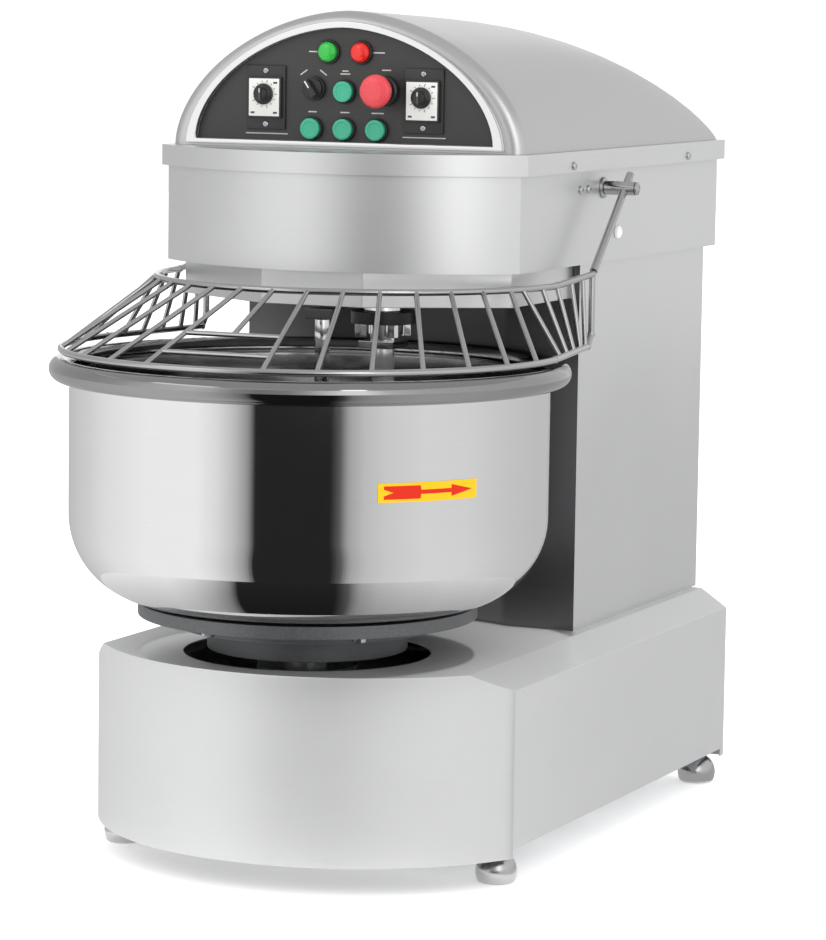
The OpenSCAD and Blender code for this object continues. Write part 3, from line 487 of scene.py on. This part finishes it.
def sweep(points, radius, sides=20, round_ends=True):
    """A round bar along points, in metres."""
    count = len(points)
    dirs = [
        (points[min(i + 1, count - 1)] - points[max(i - 1, 0)]).normalized()
        for i in range(count)
    ]
    side = dirs[0].orthogonal().normalized()
    verts, faces, rows = [], [], []

    def ring(centre, direction, r):
        other = direction.cross(side)
        rows.append(len(verts))
        for k in range(sides):
            a = 2 * math.pi * k / sides
            verts.append(centre + side * (r * math.cos(a)) + other * (r * math.sin(a)))

    for i in range(count):
        side = (side - dirs[i] * side.dot(dirs[i])).normalized()
        if i == 0 and round_ends:
            for k in (80, 60, 40, 20):
                a = math.radians(k)
                ring(points[0] - dirs[0] * (radius * math.sin(a)), dirs[0], radius * math.cos(a))
        ring(points[i], dirs[i], radius)
        if i == count - 1 and round_ends:
            for k in (20, 40, 60, 80):
                a = math.radians(k)
                ring(points[i] + dirs[i] * (radius * math.sin(a)), dirs[i], radius * math.cos(a))
    for low, high in zip(rows, rows[1:]):
        for k in range(sides):
            n = (k + 1) % sides
            faces.append((low + k, low + n, high + n, high + k))
    faces.append(tuple(rows[0] + k for k in reversed(range(sides))))
    faces.append(tuple(rows[-1] + k for k in range(sides)))
    return verts, faces


# ---------------------------------------------------------------- sheet metal
refined("base_shell", 1.2, BEAD_BLASTED)
# The column's front faces take the dark steel of painted shade.
refined(
    "column_shell", 1.0, other=PAINTED_SHADE_STEEL,
    zone=lambda centre, normal: normal.y < -0.3 and centre.y < 330,
)
refined(
    "breaker_bar", 1.0, other=FINISH["control_black"],
    zone=lambda centre, normal: centre.z > 655.5,
)
refined(
    "spiral_shaft", 1.0, other=FINISH["control_black"],
    zone=lambda centre, normal: 641.5 < centre.z < 658,
)
for node_name, width in (
    ("head_shell", 0.8),
    ("head_skirt", 0.8),
    ("hood_flange", 1.1),
    ("rear_cover", 0.8),
    ("cable_gland", 0.6),
    ("bowl_carrier", 1.5),
    ("carrier_bolts", 0.8),
    ("guard_arms", 0.4),
    ("panel_bezel", 1.6),
    ("side_plugs", 0.4),
):
    refined(node_name, width)


# ---------------------------------------------------------------- bowl
def make_bowl():
    wall, inside, rim_c, tube = 286.0, 283.0, 296.0, 14.0
    profile = [Vector((0, 318))]
    profile += [Vector((r, 318)) for r in (60, 120, 172)]
    for k in range(0, 19):
        a = math.radians(-90 + 5 * k)
        profile.append(Vector((181 + 105 * math.cos(a), 423 + 105 * math.sin(a))))
    profile += [Vector((wall, z)) for z in (450, 480, 510, 540, 565, 580)]
    first = math.degrees(math.asin(-11.0 / tube))
    start = 180 - first - 360
    for k in range(0, 33):
        a = math.radians(start + (360 - 40) * k / 32 + 25)
        profile.append(Vector((rim_c + tube * math.cos(a), 595 + tube * math.sin(a))))
    profile.append(Vector((inside + 0.6, 592)))
    profile += [Vector((inside, z)) for z in (586, 560, 520, 480, 440)]
    for k in range(0, 19):
        a = math.radians(-5 * k)
        profile.append(Vector((181 + 102 * math.cos(a), 423 + 102 * math.sin(a))))
    profile += [Vector((r, 321)) for r in (120, 60)]
    profile.append(Vector((0, 321)))
    verts, faces = lathe(profile, turned(0, 0, 0), 192)
    mesh = mesh_from(verts, faces)
    mesh.materials.append(FINISH["polished_steel"])
    mesh.materials.append(BOWL_INSIDE_PAINTED_SHADE)
    mesh.materials.append(ROLLED_RIM_PAINTED_SHADE)
    for face in mesh.polygons:
        centre = face.center - at(0, 0, 0)
        reach = math.hypot(centre.x, centre.y) / MM
        height = centre.z / MM
        facing = face.normal.x * centre.x + face.normal.y * centre.y
        # Inner faces and the bowl's floor take the darker inside steel of painted shade.
        inner = height < 593 and (facing < 0 or (height < 430 and face.normal.z > 0.2))
        # Faces higher than 580 mm, on the rolled rim, take the darker rim steel of painted shade.
        face.material_index = 1 if inner and reach < 285 else 2 if height > 580 else 0
    piece("bowl_shell", mesh, "bowl", None, ("bowl",), 50.0)


make_bowl()


# ---------------------------------------------------------------- arrow label
def make_label():
    """A printed strip on the bowl's wall, with a raised red arrow."""
    centre, span, low, high = 54.0, 13.0, 471.0, 493.0
    base_r, face_r, print_r = 286.35, 286.8, 286.88

    def wrap(angle, z, r):
        a = math.radians(angle)
        return at(r * math.sin(a), -r * math.cos(a), z)

    verts, faces = [], []
    columns = 40
    for k in range(columns + 1):
        angle = centre - span + 2 * span * k / columns
        for z, r in ((low, base_r), (low, face_r), (high, face_r), (high, base_r)):
            verts.append(wrap(angle, z, r))
    for k in range(columns):
        a, b = 4 * k, 4 * (k + 1)
        for j in range(4):
            n = (j + 1) % 4
            faces.append((a + j, b + j, b + n, a + n))
    faces.append((0, 1, 2, 3))
    faces.append(tuple(4 * columns + j for j in (3, 2, 1, 0)))
    plate_faces = len(faces)

    middle = (low + high) / 2
    tail, waist, neck, tip = -11.6, -2.6, 5.6, 11.6

    def half_width(t):
        if t < waist:
            return 7.6
        if t < neck:
            return 2.4
        return 6.8 * (tip - t) / (tip - neck)

    stops = [tail + (tip - tail) * k / 48 for k in range(49)]
    stops = sorted(set(stops + [waist - 0.01, waist + 0.4, neck - 0.01, neck + 0.01]))
    rows = []
    for t in stops:
        reach = 2.4 * max(0.0, 1 - (t - tail) / 2.2)
        rows.append((t, max(half_width(t), 0.05), reach * 1.6))
    for sign in (1, -1):
        base = len(verts)
        for t, half, notch in rows:
            inner, outer = middle + sign * notch, middle + sign * half
            for z in (inner, outer):
                verts.append(wrap(centre + t, z, face_r))
                verts.append(wrap(centre + t, z, print_r))
        for k in range(len(rows) - 1):
            a, b = base + 4 * k, base + 4 * (k + 1)
            faces.append((a + 1, b + 1, b + 3, a + 3))
            faces.append((a + 2, a + 3, b + 3, b + 2))
            faces.append((a, b, b + 1, a + 1))
            faces.append((a, a + 2, b + 2, b))
        faces.append((base, base + 1, base + 3, base + 2))
        end = base + 4 * (len(rows) - 1)
        faces.append((end, end + 2, end + 3, end + 1))
    mesh = bpy.data.meshes.new("label")
    mesh.from_pydata([tuple(v) for v in verts], [], faces)
    mesh.materials.append(FINISH["label_yellow"])
    mesh.materials.append(LABEL_RED)
    for k, face in enumerate(mesh.polygons):
        face.material_index = 0 if k < plate_faces else 1
    mesh.update()
    work = bmesh.new()
    work.from_mesh(mesh)
    bmesh.ops.recalc_face_normals(work, faces=work.faces)
    work.to_mesh(mesh)
    work.free()
    piece(
        "arrow_label", mesh, "bowl", None, ("direction_arrow",), 30.0
    )


make_label()


# ---------------------------------------------------------------- spiral hook
def make_hook():
    def low_point(t):
        r = 108 * (0.62 + 0.38 * math.sin(math.radians(600 * t)) if t < 0.15 else 1)
        a = math.radians(100 + 540 * t)
        return at(30 + r * math.cos(a), 142 + r * math.sin(a), 350 + 190 * t)

    def neck_point(u):
        r = 26 + 82 * math.cos(math.radians(90 * u))
        a = math.radians(640 + 100 * math.sin(math.radians(90 * u)))
        z = 540 + 8 * math.sin(math.radians(90 * u))
        return at(30 + r * math.cos(a), 142 + r * math.sin(a), z)

    def rise_point(v):
        r = 26 * (1 - math.sin(math.radians(90 * v)))
        a = math.radians(740)
        z = 574 - 26 * math.cos(math.radians(90 * v))
        return at(30 + r * math.cos(a), 142 + r * math.sin(a), z)

    points = [low_point(k / 150) for k in range(151)]
    points += [neck_point(k / 36) for k in range(1, 37)]
    points += [rise_point(k / 14) for k in range(1, 15)]
    points += [at(30, 142, z) for z in (585, 600, 611.7)]
    verts, faces = sweep(points, 0.014, 28)
    piece(
        "spiral_bar", mesh_from(verts, faces), "spiral", HOOK_STEEL,
        ("spiral_hook",), 60.0,
    )


make_hook()


# ---------------------------------------------------------------- hood
def arch_point(half_w, height, angle, power=1.8):
    c, s = math.cos(angle), math.sin(angle)
    x = half_w * math.copysign(abs(c) ** (2 / power), c)
    return x, height * abs(s) ** (2 / power)


def dome_top(y):
    return 166 - 0.032 * (y - 85)


def dome_rows(inset):
    """(y, half width, height) of the dome's sections, front to back."""
    rows = []
    for k in range(0, 10):
        a = math.radians(10 * k)
        ease = 16 * (1 - math.sin(a))
        y = 85 + inset + 16 * (1 - math.cos(a))
        rows.append((y, 233 - inset - ease, dome_top(y) - inset - ease))
    back = 758 - 1.5 * inset - 150
    for deg in (0, 3, 7, 12, 18, 24, 31, 38, 45, 52, 58, 64, 69, 74, 78, 81.5, 84, 86, 87.5, 88.6, 89.5):
        a = math.radians(deg)
        y = 150 + back * math.sqrt(math.sin(a))
        height = dome_top(y) * math.sqrt(math.cos(a)) - inset
        rows.append((y, 233 - inset, max(height, 0.5)))
    return rows


def make_hood():
    count = 72
    base_z = 853.15
    angles = [math.pi * k / count for k in range(count + 1)]
    verts, faces = [], []

    def section(y, half_w, height):
        start = len(verts)
        for a in angles:
            x, z = arch_point(half_w, height, a)
            verts.append(at(x, y, base_z + z))
        return start

    def strip(a, b):
        for k in range(count):
            faces.append((a + k, a + k + 1, b + k + 1, b + k))

    outer = [section(*row) for row in dome_rows(0.0)]
    inner = [section(*row) for row in dome_rows(2.5)]
    for rows in (outer, inner):
        for a, b in zip(rows, rows[1:]):
            strip(a, b)
    for last in (outer[-1], inner[-1]):
        faces.append(tuple(range(last, last + count + 1)))
    faces.append((outer[-1], outer[-1] + count, inner[-1] + count, inner[-1]))
    for side in (0, count):
        for k in range(len(outer) - 1):
            faces.append((outer[k] + side, outer[k + 1] + side, inner[k + 1] + side, inner[k] + side))

    def opening(y, margin):
        start = len(verts)
        for a in angles:
            x, z = arch_point(196 + margin, 136 + margin, a)
            verts.append(at(x, y, 862 - margin * 0.5 + z))
        return start

    lip_front = opening(85.0, 0.0)
    lip_back = opening(87.5, 0.0)
    strip(outer[0], lip_front)
    strip(lip_front, lip_back)
    strip(lip_back, inner[0])

    def sill(y, z, half_w):
        verts.append(at(-half_w, y, z))
        verts.append(at(half_w, y, z))
        return len(verts) - 2

    low_front = sill(85.0, base_z, 217.0)
    low_back = sill(87.5, base_z, 217.0)
    faces.append((lip_front, lip_front + count, low_front, low_front + 1))
    faces.append((lip_back, lip_back + count, low_back, low_back + 1))
    faces.append((lip_front, lip_front + count, lip_back + count, lip_back))
    faces.append((low_front, low_front + 1, low_back + 1, low_back))
    for side, low in ((0, 1), (count, 0)):
        faces.append((outer[0] + side, lip_front + side, low_front + low))
        faces.append((inner[0] + side, lip_back + side, low_back + low))
    piece(
        "hood_dome", mesh_from(verts, faces), BODY["hood"], FINISH["hood_skin"],
        ("hood",), 40.0,
    )


make_hood()


# ---------------------------------------------------------------- controls
def control(name, x, z, profile, node, finish=None, extra=(), sharp=35.0, replaces=True):
    parts = [lathe(rounded(profile), on_panel(x, z), 64)]
    parts += list(extra)
    verts, faces = joined(parts)
    return piece(
        name, mesh_from(verts, faces), BODY[node], finish or FINISH[SLOT[node]],
        (node,) if replaces else (), sharp,
    )


def block(place, low, high, edge=0.5):
    """A block with rounded edges, given by its corners in local millimetres."""
    work = bmesh.new()
    bmesh.ops.create_cube(work, size=1.0)
    for vert in work.verts:
        vert.co = Vector(
            [low[i] + (vert.co[i] + 0.5) * (high[i] - low[i]) for i in range(3)]
        )
    bmesh.ops.bevel(
        work, geom=work.edges[:], offset=edge, segments=3, profile=0.5,
        affect="EDGES", clamp_overlap=True, material=-1,
    )
    work.verts.index_update()
    verts = [place @ v.co for v in work.verts]
    faces = [tuple(v.index for v in f.verts) for f in work.faces]
    work.free()
    return verts, faces


def screw_parts(place, radius, height=None):
    """A domed head with a cross recess cut as a real hollow."""
    height = height or radius * 0.62
    dome = [(radius, 0), (radius, height * 0.35)]
    for k in range(1, 9):
        a = math.radians(90 * k / 9)
        dome.append((radius * math.cos(a * 0.78), height * (0.35 + 0.65 * math.sin(a))))
    slot_r = radius * 0.42
    dome = [p for p in dome if p[0] > slot_r + 0.05]
    top = dome[-1][1]
    dome += [(slot_r, top + 0.02), (slot_r * 0.8, top - height * 0.5), (0, top - height * 0.55)]
    shank = [(0, -2.0), (radius * 0.5, -2.0), (radius * 0.5, 0)]
    parts = [lathe([Vector(p) for p in shank + dome], place, 40)]
    recess_low = (-slot_r * 0.97, -radius * 0.09, top - height * 0.6)
    recess_high = (slot_r * 0.97, radius * 0.09, top - height * 0.1)
    for turn in (0, 90):
        arm = place @ Matrix.Rotation(math.radians(turn + 20), 4, "Z")
        parts.append(block(arm, recess_low, recess_high, 0.05))
    return parts


LAMP_LENS = [(0, -16), (8.5, -16), (8.5, 2), (12, 2), (12, 7.5, 2.0), (9.5, 10.4, 2.5), (5, 11.7, 4), (0, 12)]
control("run_lamp_lens", -21.5, 969, LAMP_LENS, "run_lamp")
control("power_lamp_lens", 21.5, 969, LAMP_LENS, "power_lamp")

BUTTON = [(0, -12), (8, -12), (8, 3.4), (12.5, 3.4), (12.5, 9.2, 1.1), (9, 9.35, 1.5), (8, 8.8, 3), (0, 8.5)]
for node_name, x, z in (
    ("start_button", 0, 922), ("slow_button", -43, 877), ("fast_button", 0, 877), ("bowl_button", 43, 877),
):
    control(node_name + "_cap", x, z, BUTTON, node_name)


def make_collars():
    parts = []
    collar = [
        (10.9, -24), (10.9, 0.15), (14.4, 0.15), (14.4, 4.6, 1.2), (13.0, 5.0, 0.4),
        (12.85, 0.3), (8.1, 0.3), (8.1, -18),
    ]
    ring = [(12.25, 0.15), (14.5, 0.15), (14.5, 3.9, 1.4), (12.8, 4.2, 0.5), (12.2, 3.6)]
    for x, z in ((-43, 877), (0, 877), (43, 877), (0, 922)):
        parts.append(lathe(rounded(collar), on_panel(x, z), 64))
    for x in (-21.5, 21.5):
        parts.append(lathe(rounded(ring + ring[:1]), on_panel(x, 969), 64))
    verts, faces = joined(parts)
    piece(
        "control_collars", mesh_from(verts, faces), BODY["control_bezels"],
        FINISH[SLOT["control_bezels"]], ("control_bezels",), 35.0,
    )


make_collars()

control(
    "stop_mushroom", 54, 924,
    [
        (0, -12), (7, -12), (7, 26), (19.0, 26, 0.6), (20, 28.5, 1.5), (20, 33, 2.5),
        (17.5, 36.4, 3), (11, 38.4, 6), (0, 39),
    ],
    "stop_button",
)
control(
    "stop_collar", 54, 924,
    [
        (7.1, -20), (10.8, -30), (10.8, 0), (18, 0), (18, 9.2, 1.2), (15.6, 10.4, 0.8),
        (15, 20, 1.2), (8.2, 20, 0.6), (7.1, 18),
    ],
    "stop_base",
)
control(
    "selector_collar", -40, 925,
    [
        (6.1, -18), (10.8, -24), (10.8, 0), (14.4, 0), (14.4, 4.6, 1.3), (12.9, 5, 0.5),
        (6.3, 5, 0.3), (6.1, 4),
    ],
    "selector_base",
)


def make_selector():
    place = on_panel(-40, 925)
    turned_place = place @ Matrix.Rotation(math.radians(35), 4, "Z")
    parts = [
        lathe(rounded([(0, -12), (6, -12), (6, 5.3), (12.5, 5.3), (12.5, 9.0, 1.2), (0, 9.3)]), place, 64),
        block(turned_place, (-3.6, -11.2, 7.5), (3.6, 11.2, 17.2), 1.2),
    ]
    verts, faces = joined(parts)
    black_faces = len(faces)
    more_verts, more_faces = block(turned_place, (-0.8, 1.0, 16.9), (0.8, 10.6, 17.5), 0.15)
    verts, faces = joined([(verts, faces), (more_verts, more_faces)])
    mesh = bpy.data.meshes.new("selector")
    mesh.from_pydata([tuple(v) for v in verts], [], faces)
    mesh.materials.append(FINISH["control_black"])
    mesh.materials.append(FINISH["white_plastic"])
    for k, face in enumerate(mesh.polygons):
        face.material_index = 0 if k < black_faces else 1
    piece("selector_grip", mesh, "selector", None, ("selector_knob",), 35.0)


make_selector()


def make_timer(node, dial_node, x):
    place = on_panel(x, 913)
    raised = place @ Matrix.Translation((0, 4, 0))
    black = [
        block(place, (-25.5, -38.5, 0.1), (25.5, 38.5, 3.0), 1.0),
        block(place, (-22, -25, 2.4), (22, 25, 8.2), 1.2),
        block(place, (-19, -25, -62), (19, 25, 0.6), 0.8),
    ]
    pale = [block(place, (-20.2, -22.6, 7.6), (20.2, 22.6, 9.0), 0.5)]
    for k in range(13):
        a = math.radians(-60 + 25 * k)
        mark = raised @ Matrix.Rotation(-a, 4, "Z")
        black.append(block(mark, (-0.4, 14.2, 8.7), (0.4, 17.4 if k % 3 == 0 else 16.2, 9.12), 0.05))
    for x_mark, y_mark in ((15, 17.6), (15, -18.4), (-15, -18.4)):
        black.append(block(place, (x_mark - 2.6, y_mark - 1.2, 8.7), (x_mark + 2.6, y_mark + 1.2, 9.12), 0.1))
    steel = []
    for s in (-1, 1):
        steel += screw_parts(place @ Matrix.Translation((0, s * 32, 3.0)), 3.6)
    verts, faces, marks = [], [], []
    for k, group in enumerate((black, pale, steel)):
        start = len(faces)
        verts, faces = joined([(verts, faces)] + group)
        marks += [k] * (len(faces) - start)
    mesh = bpy.data.meshes.new(node)
    mesh.from_pydata([tuple(v) for v in verts], [], faces)
    for finish in (FINISH["control_black"], DIAL_WHITE, FINISH["zinc_screws"]):
        mesh.materials.append(finish)
    for face, k in zip(mesh.polygons, marks):
        face.material_index = k
    piece(node + "_case", mesh, BODY[node], None, (node,), 35.0)

    knob = [
        lathe(
            rounded([
                (0, -6), (4, -6), (4, 9.3), (12.5, 9.3), (12.5, 12.6, 1.0), (9.0, 13.9, 1.0),
                (7.8, 14.6, 0.6), (7.2, 19.6, 1.2), (0, 20.2),
            ]),
            raised, 64,
        ),
        block(raised, (-1.6, -7.2, 14), (1.6, 7.2, 22.2), 0.6),
    ]
    for k in range(24):
        grip = raised @ Matrix.Rotation(math.radians(15 * k), 4, "Z")
        knob.append(block(grip, (12.0, -0.7, 9.6), (12.75, 0.7, 12.4), 0.2))
    verts, faces = joined(knob)
    black_faces = len(faces)
    verts, faces = joined([(verts, faces), block(raised, (-0.5, 2.0, 21.9), (0.5, 6.8, 22.35), 0.1)])
    mesh = bpy.data.meshes.new(dial_node)
    mesh.from_pydata([tuple(v) for v in verts], [], faces)
    mesh.materials.append(FINISH["control_black"])
    mesh.materials.append(FINISH["white_plastic"])
    for k, face in enumerate(mesh.polygons):
        face.material_index = 0 if k < black_faces else 1
    piece(dial_node + "_knob", mesh, BODY[dial_node], None, (dial_node,), 35.0)


make_timer("left_timer", "left_timer_dial", -104)
make_timer("right_timer", "right_timer_dial", 104)


def make_print():
    """Plain pale strokes where a control would carry its caption, with no lettering."""
    parts = []

    def stroke(x, z, length, height=1.5, turn=0.0):
        place = on_panel(x, z) @ Matrix.Rotation(math.radians(turn), 4, "Z")
        parts.append(block(place, (-length / 2, -height / 2, 0.02), (length / 2, height / 2, 0.12), 0.04))

    stroke(-43, 969, 11)
    stroke(44, 969, 15)
    for x, length in ((-43, 11), (0, 12), (43, 16)):
        stroke(x, 897, length)
    stroke(0, 943, 13)
    stroke(0, 946.5, 8)
    stroke(54, 948.5, 12)
    stroke(-55, 944, 11, turn=35)
    stroke(-29, 944, 11, turn=-35)
    for x in (-104, 104):
        stroke(x, 869.5, 56, 1.3)
    verts, faces = joined(parts)
    piece(
        "panel_print", mesh_from(verts, faces), BODY["panel_plate"], PRINT_PALE, (),
        35.0,
    )


make_print()


# ---------------------------------------------------------------- small parts
def make_screws():
    parts = []

    def facing(x, y, z, direction):
        turn = Vector((0, 0, 1)).rotation_difference(Vector(direction)).to_matrix().to_4x4()
        return Matrix.Translation(at(x, y, z)) @ turn @ Matrix.Scale(MM, 4)

    for s in (-1, 1):
        for y in (225, 625):
            parts += screw_parts(facing(s * 242.3, y, 836, (s, 0, 0)), 5.0)
        for z in (314, 480, 670):
            parts += screw_parts(facing(s * 192, 739.3, z, (0, 1, 0)), 5.0)
        for y in (270, 296):
            parts += screw_parts(facing(s * 233.3, y, 805, (s, 0, 0)), 5.0)
    verts, faces = joined(parts)
    piece(
        "dome_screws", mesh_from(verts, faces), BODY["cover_screws"],
        FINISH[SLOT["cover_screws"]], ("cover_screws",), 35.0,
    )


make_screws()


def make_hinges():
    """Round bosses, washers and a pin with a turned end, one at each side."""
    parts = []
    for s in (-1, 1):
        turn = Matrix.Rotation(math.radians(90 * s), 4, "Y")
        place = Matrix.Translation(at(s * 233.3, 347, 805)) @ turn @ Matrix.Scale(MM, 4)
        boss = [(0, 0), (13, 0, 0.4), (13, 2.2, 0.8), (9, 3.0, 0.4), (5, 3.0), (5, 43.6)]
        boss += [(8, 43.7, 0.3), (8, 45.6, 0.8), (5, 46.6, 0.3), (4.6, 46.8, 0.2), (4.4, 45.8), (0, 45.8)]
        parts.append(lathe(rounded(boss), place, 48))
        parts.append(lathe(rounded([(0, -14), (5, -14), (5, 0.4), (0, 0.4)]), place, 48))
    verts, faces = joined(parts)
    piece(
        "hinge_bosses", mesh_from(verts, faces), BODY["hinge_brackets"],
        FINISH[SLOT["hinge_brackets"]], ("hinge_brackets",), 35.0,
    )


make_hinges()


def make_foot(node, x, y):
    """A domed levelling foot: rolled lower edge, turned neck, lock nut and threaded stem."""
    profile = [(0, 0), (20, 0), (22.6, 1.6, 1.2)]
    for k in range(0, 10):
        a = math.radians(-24 + 10 * k)
        profile.append((25 * math.cos(a), 13 + 25 * math.sin(a), 0))
    profile += [(13, 35.2, 1.5), (13, 44.6, 0.6), (8, 44.7, 0.2)]
    thread = 46.0
    while thread < 80:
        profile += [(8, thread, 0), (7.5, thread + 0.9, 0)]
        thread += 1.8
    profile += [(7.4, 82, 0.5), (0, 82)]
    verts, faces = lathe(rounded(profile), turned(x, y, 0), 56)
    piece(node + "_turned", mesh_from(verts, faces), BODY[node], FOOT_STEEL, (node,), 35.0)


make_foot("foot_front_left", -248, 4)
make_foot("foot_front_right", 248, 4)
make_foot("foot_rear_left", -248, 694)
make_foot("foot_rear_right", 248, 694)


# ---------------------------------------------------------------- stage and light
def glow_material():
    """Gives off the brightness stored in each card's own colour layer."""
    made = bpy.data.materials.new("studio_card")
    made.use_nodes = True
    tree = made.node_tree
    tree.nodes.clear()
    out = tree.nodes.new("ShaderNodeOutputMaterial")
    glow = tree.nodes.new("ShaderNodeEmission")
    level = tree.nodes.new("ShaderNodeAttribute")
    level.attribute_name = "level"
    link(tree, level.outputs["Fac"], glow.inputs["Strength"])
    link(tree, glow.outputs["Emission"], out.inputs["Surface"])
    return made


GLOW = glow_material()


def stage_card(name, verts, faces, levels):
    """A studio card that only shows in reflections."""
    mesh = bpy.data.meshes.new(name)
    mesh.from_pydata([tuple(v) for v in verts], [], faces)
    layer = mesh.attributes.new("level", "FLOAT", "POINT")
    layer.data.foreach_set("value", levels)
    mesh.materials.append(GLOW)
    card = bpy.data.objects.new(name, mesh)
    bpy.context.scene.collection.objects.link(card)
    card.visible_camera = False
    card.visible_diffuse = False
    card.visible_shadow = False
    card.visible_transmission = False
    return card


VIEW_AZ = 23.903


def around(angle, radius, height):
    """A point round the machine; angle 0 is towards the camera, positive to its right."""
    a = math.radians(VIEW_AZ + angle)
    return (radius * math.sin(a), -radius * math.cos(a) - 0.228, height)


def graded(stops, angle):
    """Brightness at an angle, between (angle, brightness) stops."""
    for (a, low), (b, high) in zip(stops, stops[1:]):
        if a <= angle <= b:
            return low + (high - low) * (angle - a) / (b - a)
    return stops[-1][1]


def card_band(name, stops, lower, upper, step=1.5, shares=(1.0, 1.0)):
    """A band of card round the machine between two (radius, height) edges, graded by direction."""
    first, last = stops[0][0], stops[-1][0]
    count = int((last - first) / step)
    verts, faces, levels = [], [], []
    for k in range(count + 1):
        angle = first + (last - first) * k / count
        verts += [around(angle, *lower), around(angle, *upper)]
        levels += [graded(stops, angle) * share for share in shares]
    for k in range(count):
        faces.append((2 * k, 2 * k + 2, 2 * k + 3, 2 * k + 1))
    stage_card(name, verts, faces, levels)


# (direction, level) of the cards that only reflections see. The levels were set from grey
# readings of the bowl (low) and the head (high) in the photograph.
CARD_RADIUS = 2.6
CARD_FOOT = 0.003
CARD_SPLIT = 0.42
CARD_TOP = 2.3
DECK_CARD_HEIGHT = 0.260
LOW_RING = (
    (-165, 0.50), (-145, 0.62), (-121, 0.76), (-104, 0.90), (-77, 1.02), (-50, 1.02),
    (-40, 0.86), (-32, 0.62), (-26, 0.36), (-22.5, 0.02), (11, 0.02), (15, 0.12), (19, 0.44),
    (26, 0.62), (36, 0.72), (54, 0.80), (77, 0.78), (104, 0.68), (130, 0.62), (165, 0.55),
)
HIGH_RING = (
    (-165, 0.55), (-110, 0.60), (-90, 0.70), (-70, 1.00), (-50, 1.15), (-40, 1.00),
    (-30, 0.60), (-20, 0.42), (-8, 0.50), (0, 0.80), (8, 1.30), (16, 1.80), (24, 1.80),
    (34, 1.15), (50, 0.95), (90, 0.85), (165, 0.80),
)
card_band("low_card", LOW_RING, (CARD_RADIUS, CARD_FOOT), (CARD_RADIUS, CARD_SPLIT))
card_band("high_card", HIGH_RING, (CARD_RADIUS, CARD_SPLIT), (CARD_RADIUS, CARD_TOP))
card_band("floor_card", LOW_RING, (0.31, CARD_FOOT), (CARD_RADIUS, CARD_FOOT))
# Stands in for the base's top in the bowl's reflections.
card_band(
    "deck_card", LOW_RING, (0.20, DECK_CARD_HEIGHT), (0.35, DECK_CARD_HEIGHT), shares=(0.55, 0.95)
)
ceiling = [(-4, -4, 3.4), (4, -4, 3.4), (4, 4, 3.4), (-4, 4, 3.4)]
stage_card("ceiling_card", ceiling, [(0, 1, 2, 3)], [0.62] * 4)

floor = bpy.data.objects.new(
    "floor",
    mesh_from([Vector(c) for c in ((-14, -14, 0), (14, -14, 0), (14, 14, 0), (-14, 14, 0))], [(0, 1, 2, 3)]),
)
bpy.context.scene.collection.objects.link(floor)
floor.data.materials.append(
    material(
        "floor_pale", (0.92, 0.92, 0.92), shade=0.01, rough=0.85, rough_span=0.02,
        grain=(60.0, 60.0, 60.0), bump=0.02,
        Emission_Color=grey(1.0), Emission_Strength=0.42,
    )
)

world = bpy.data.worlds.new("studio")
bpy.context.scene.world = world
world.use_nodes = True
world.node_tree.nodes["Background"].inputs["Color"].default_value = grey(1.0)
world.node_tree.nodes["Background"].inputs["Strength"].default_value = 1.12
bpy.context.scene.view_settings.view_transform = "Standard"


def area_light(name, place, target, width, height, power):
    data = bpy.data.lights.new(name, "AREA")
    data.shape = "RECTANGLE"
    data.size = width
    data.size_y = height
    data.energy = power
    lamp = bpy.data.objects.new(name, data)
    bpy.context.scene.collection.objects.link(lamp)
    lamp.location = place
    lamp.rotation_euler = (Vector(target) - Vector(place)).to_track_quat("-Z", "Y").to_euler()
    return lamp


area_light("key", around(22.0, 3.6, 2.6), (0, -0.1, 0.5), 0.7, 2.4, 14.0)
area_light("left_soft", around(-62.0, 3.4, 2.2), (0, -0.1, 0.5), 2.0, 2.4, 16.0)
area_light("top_soft", (0.2, -0.2, 4.2), (0, -0.1, 0.4), 3.0, 3.0, 14.0)

# A soft fill that lights the base casing alone.
base_fill = area_light("base_fill", around(-6.0, 1.7, 0.5), (0, -0.35, 0.12), 1.5, 0.9, 4.0)
lit = bpy.data.collections.new("lit_by_base_fill")
lit.objects.link(bpy.data.objects["base_shell_finished"])
base_fill.light_linking.receiver_collection = lit

bpy.context.view_layer.update()
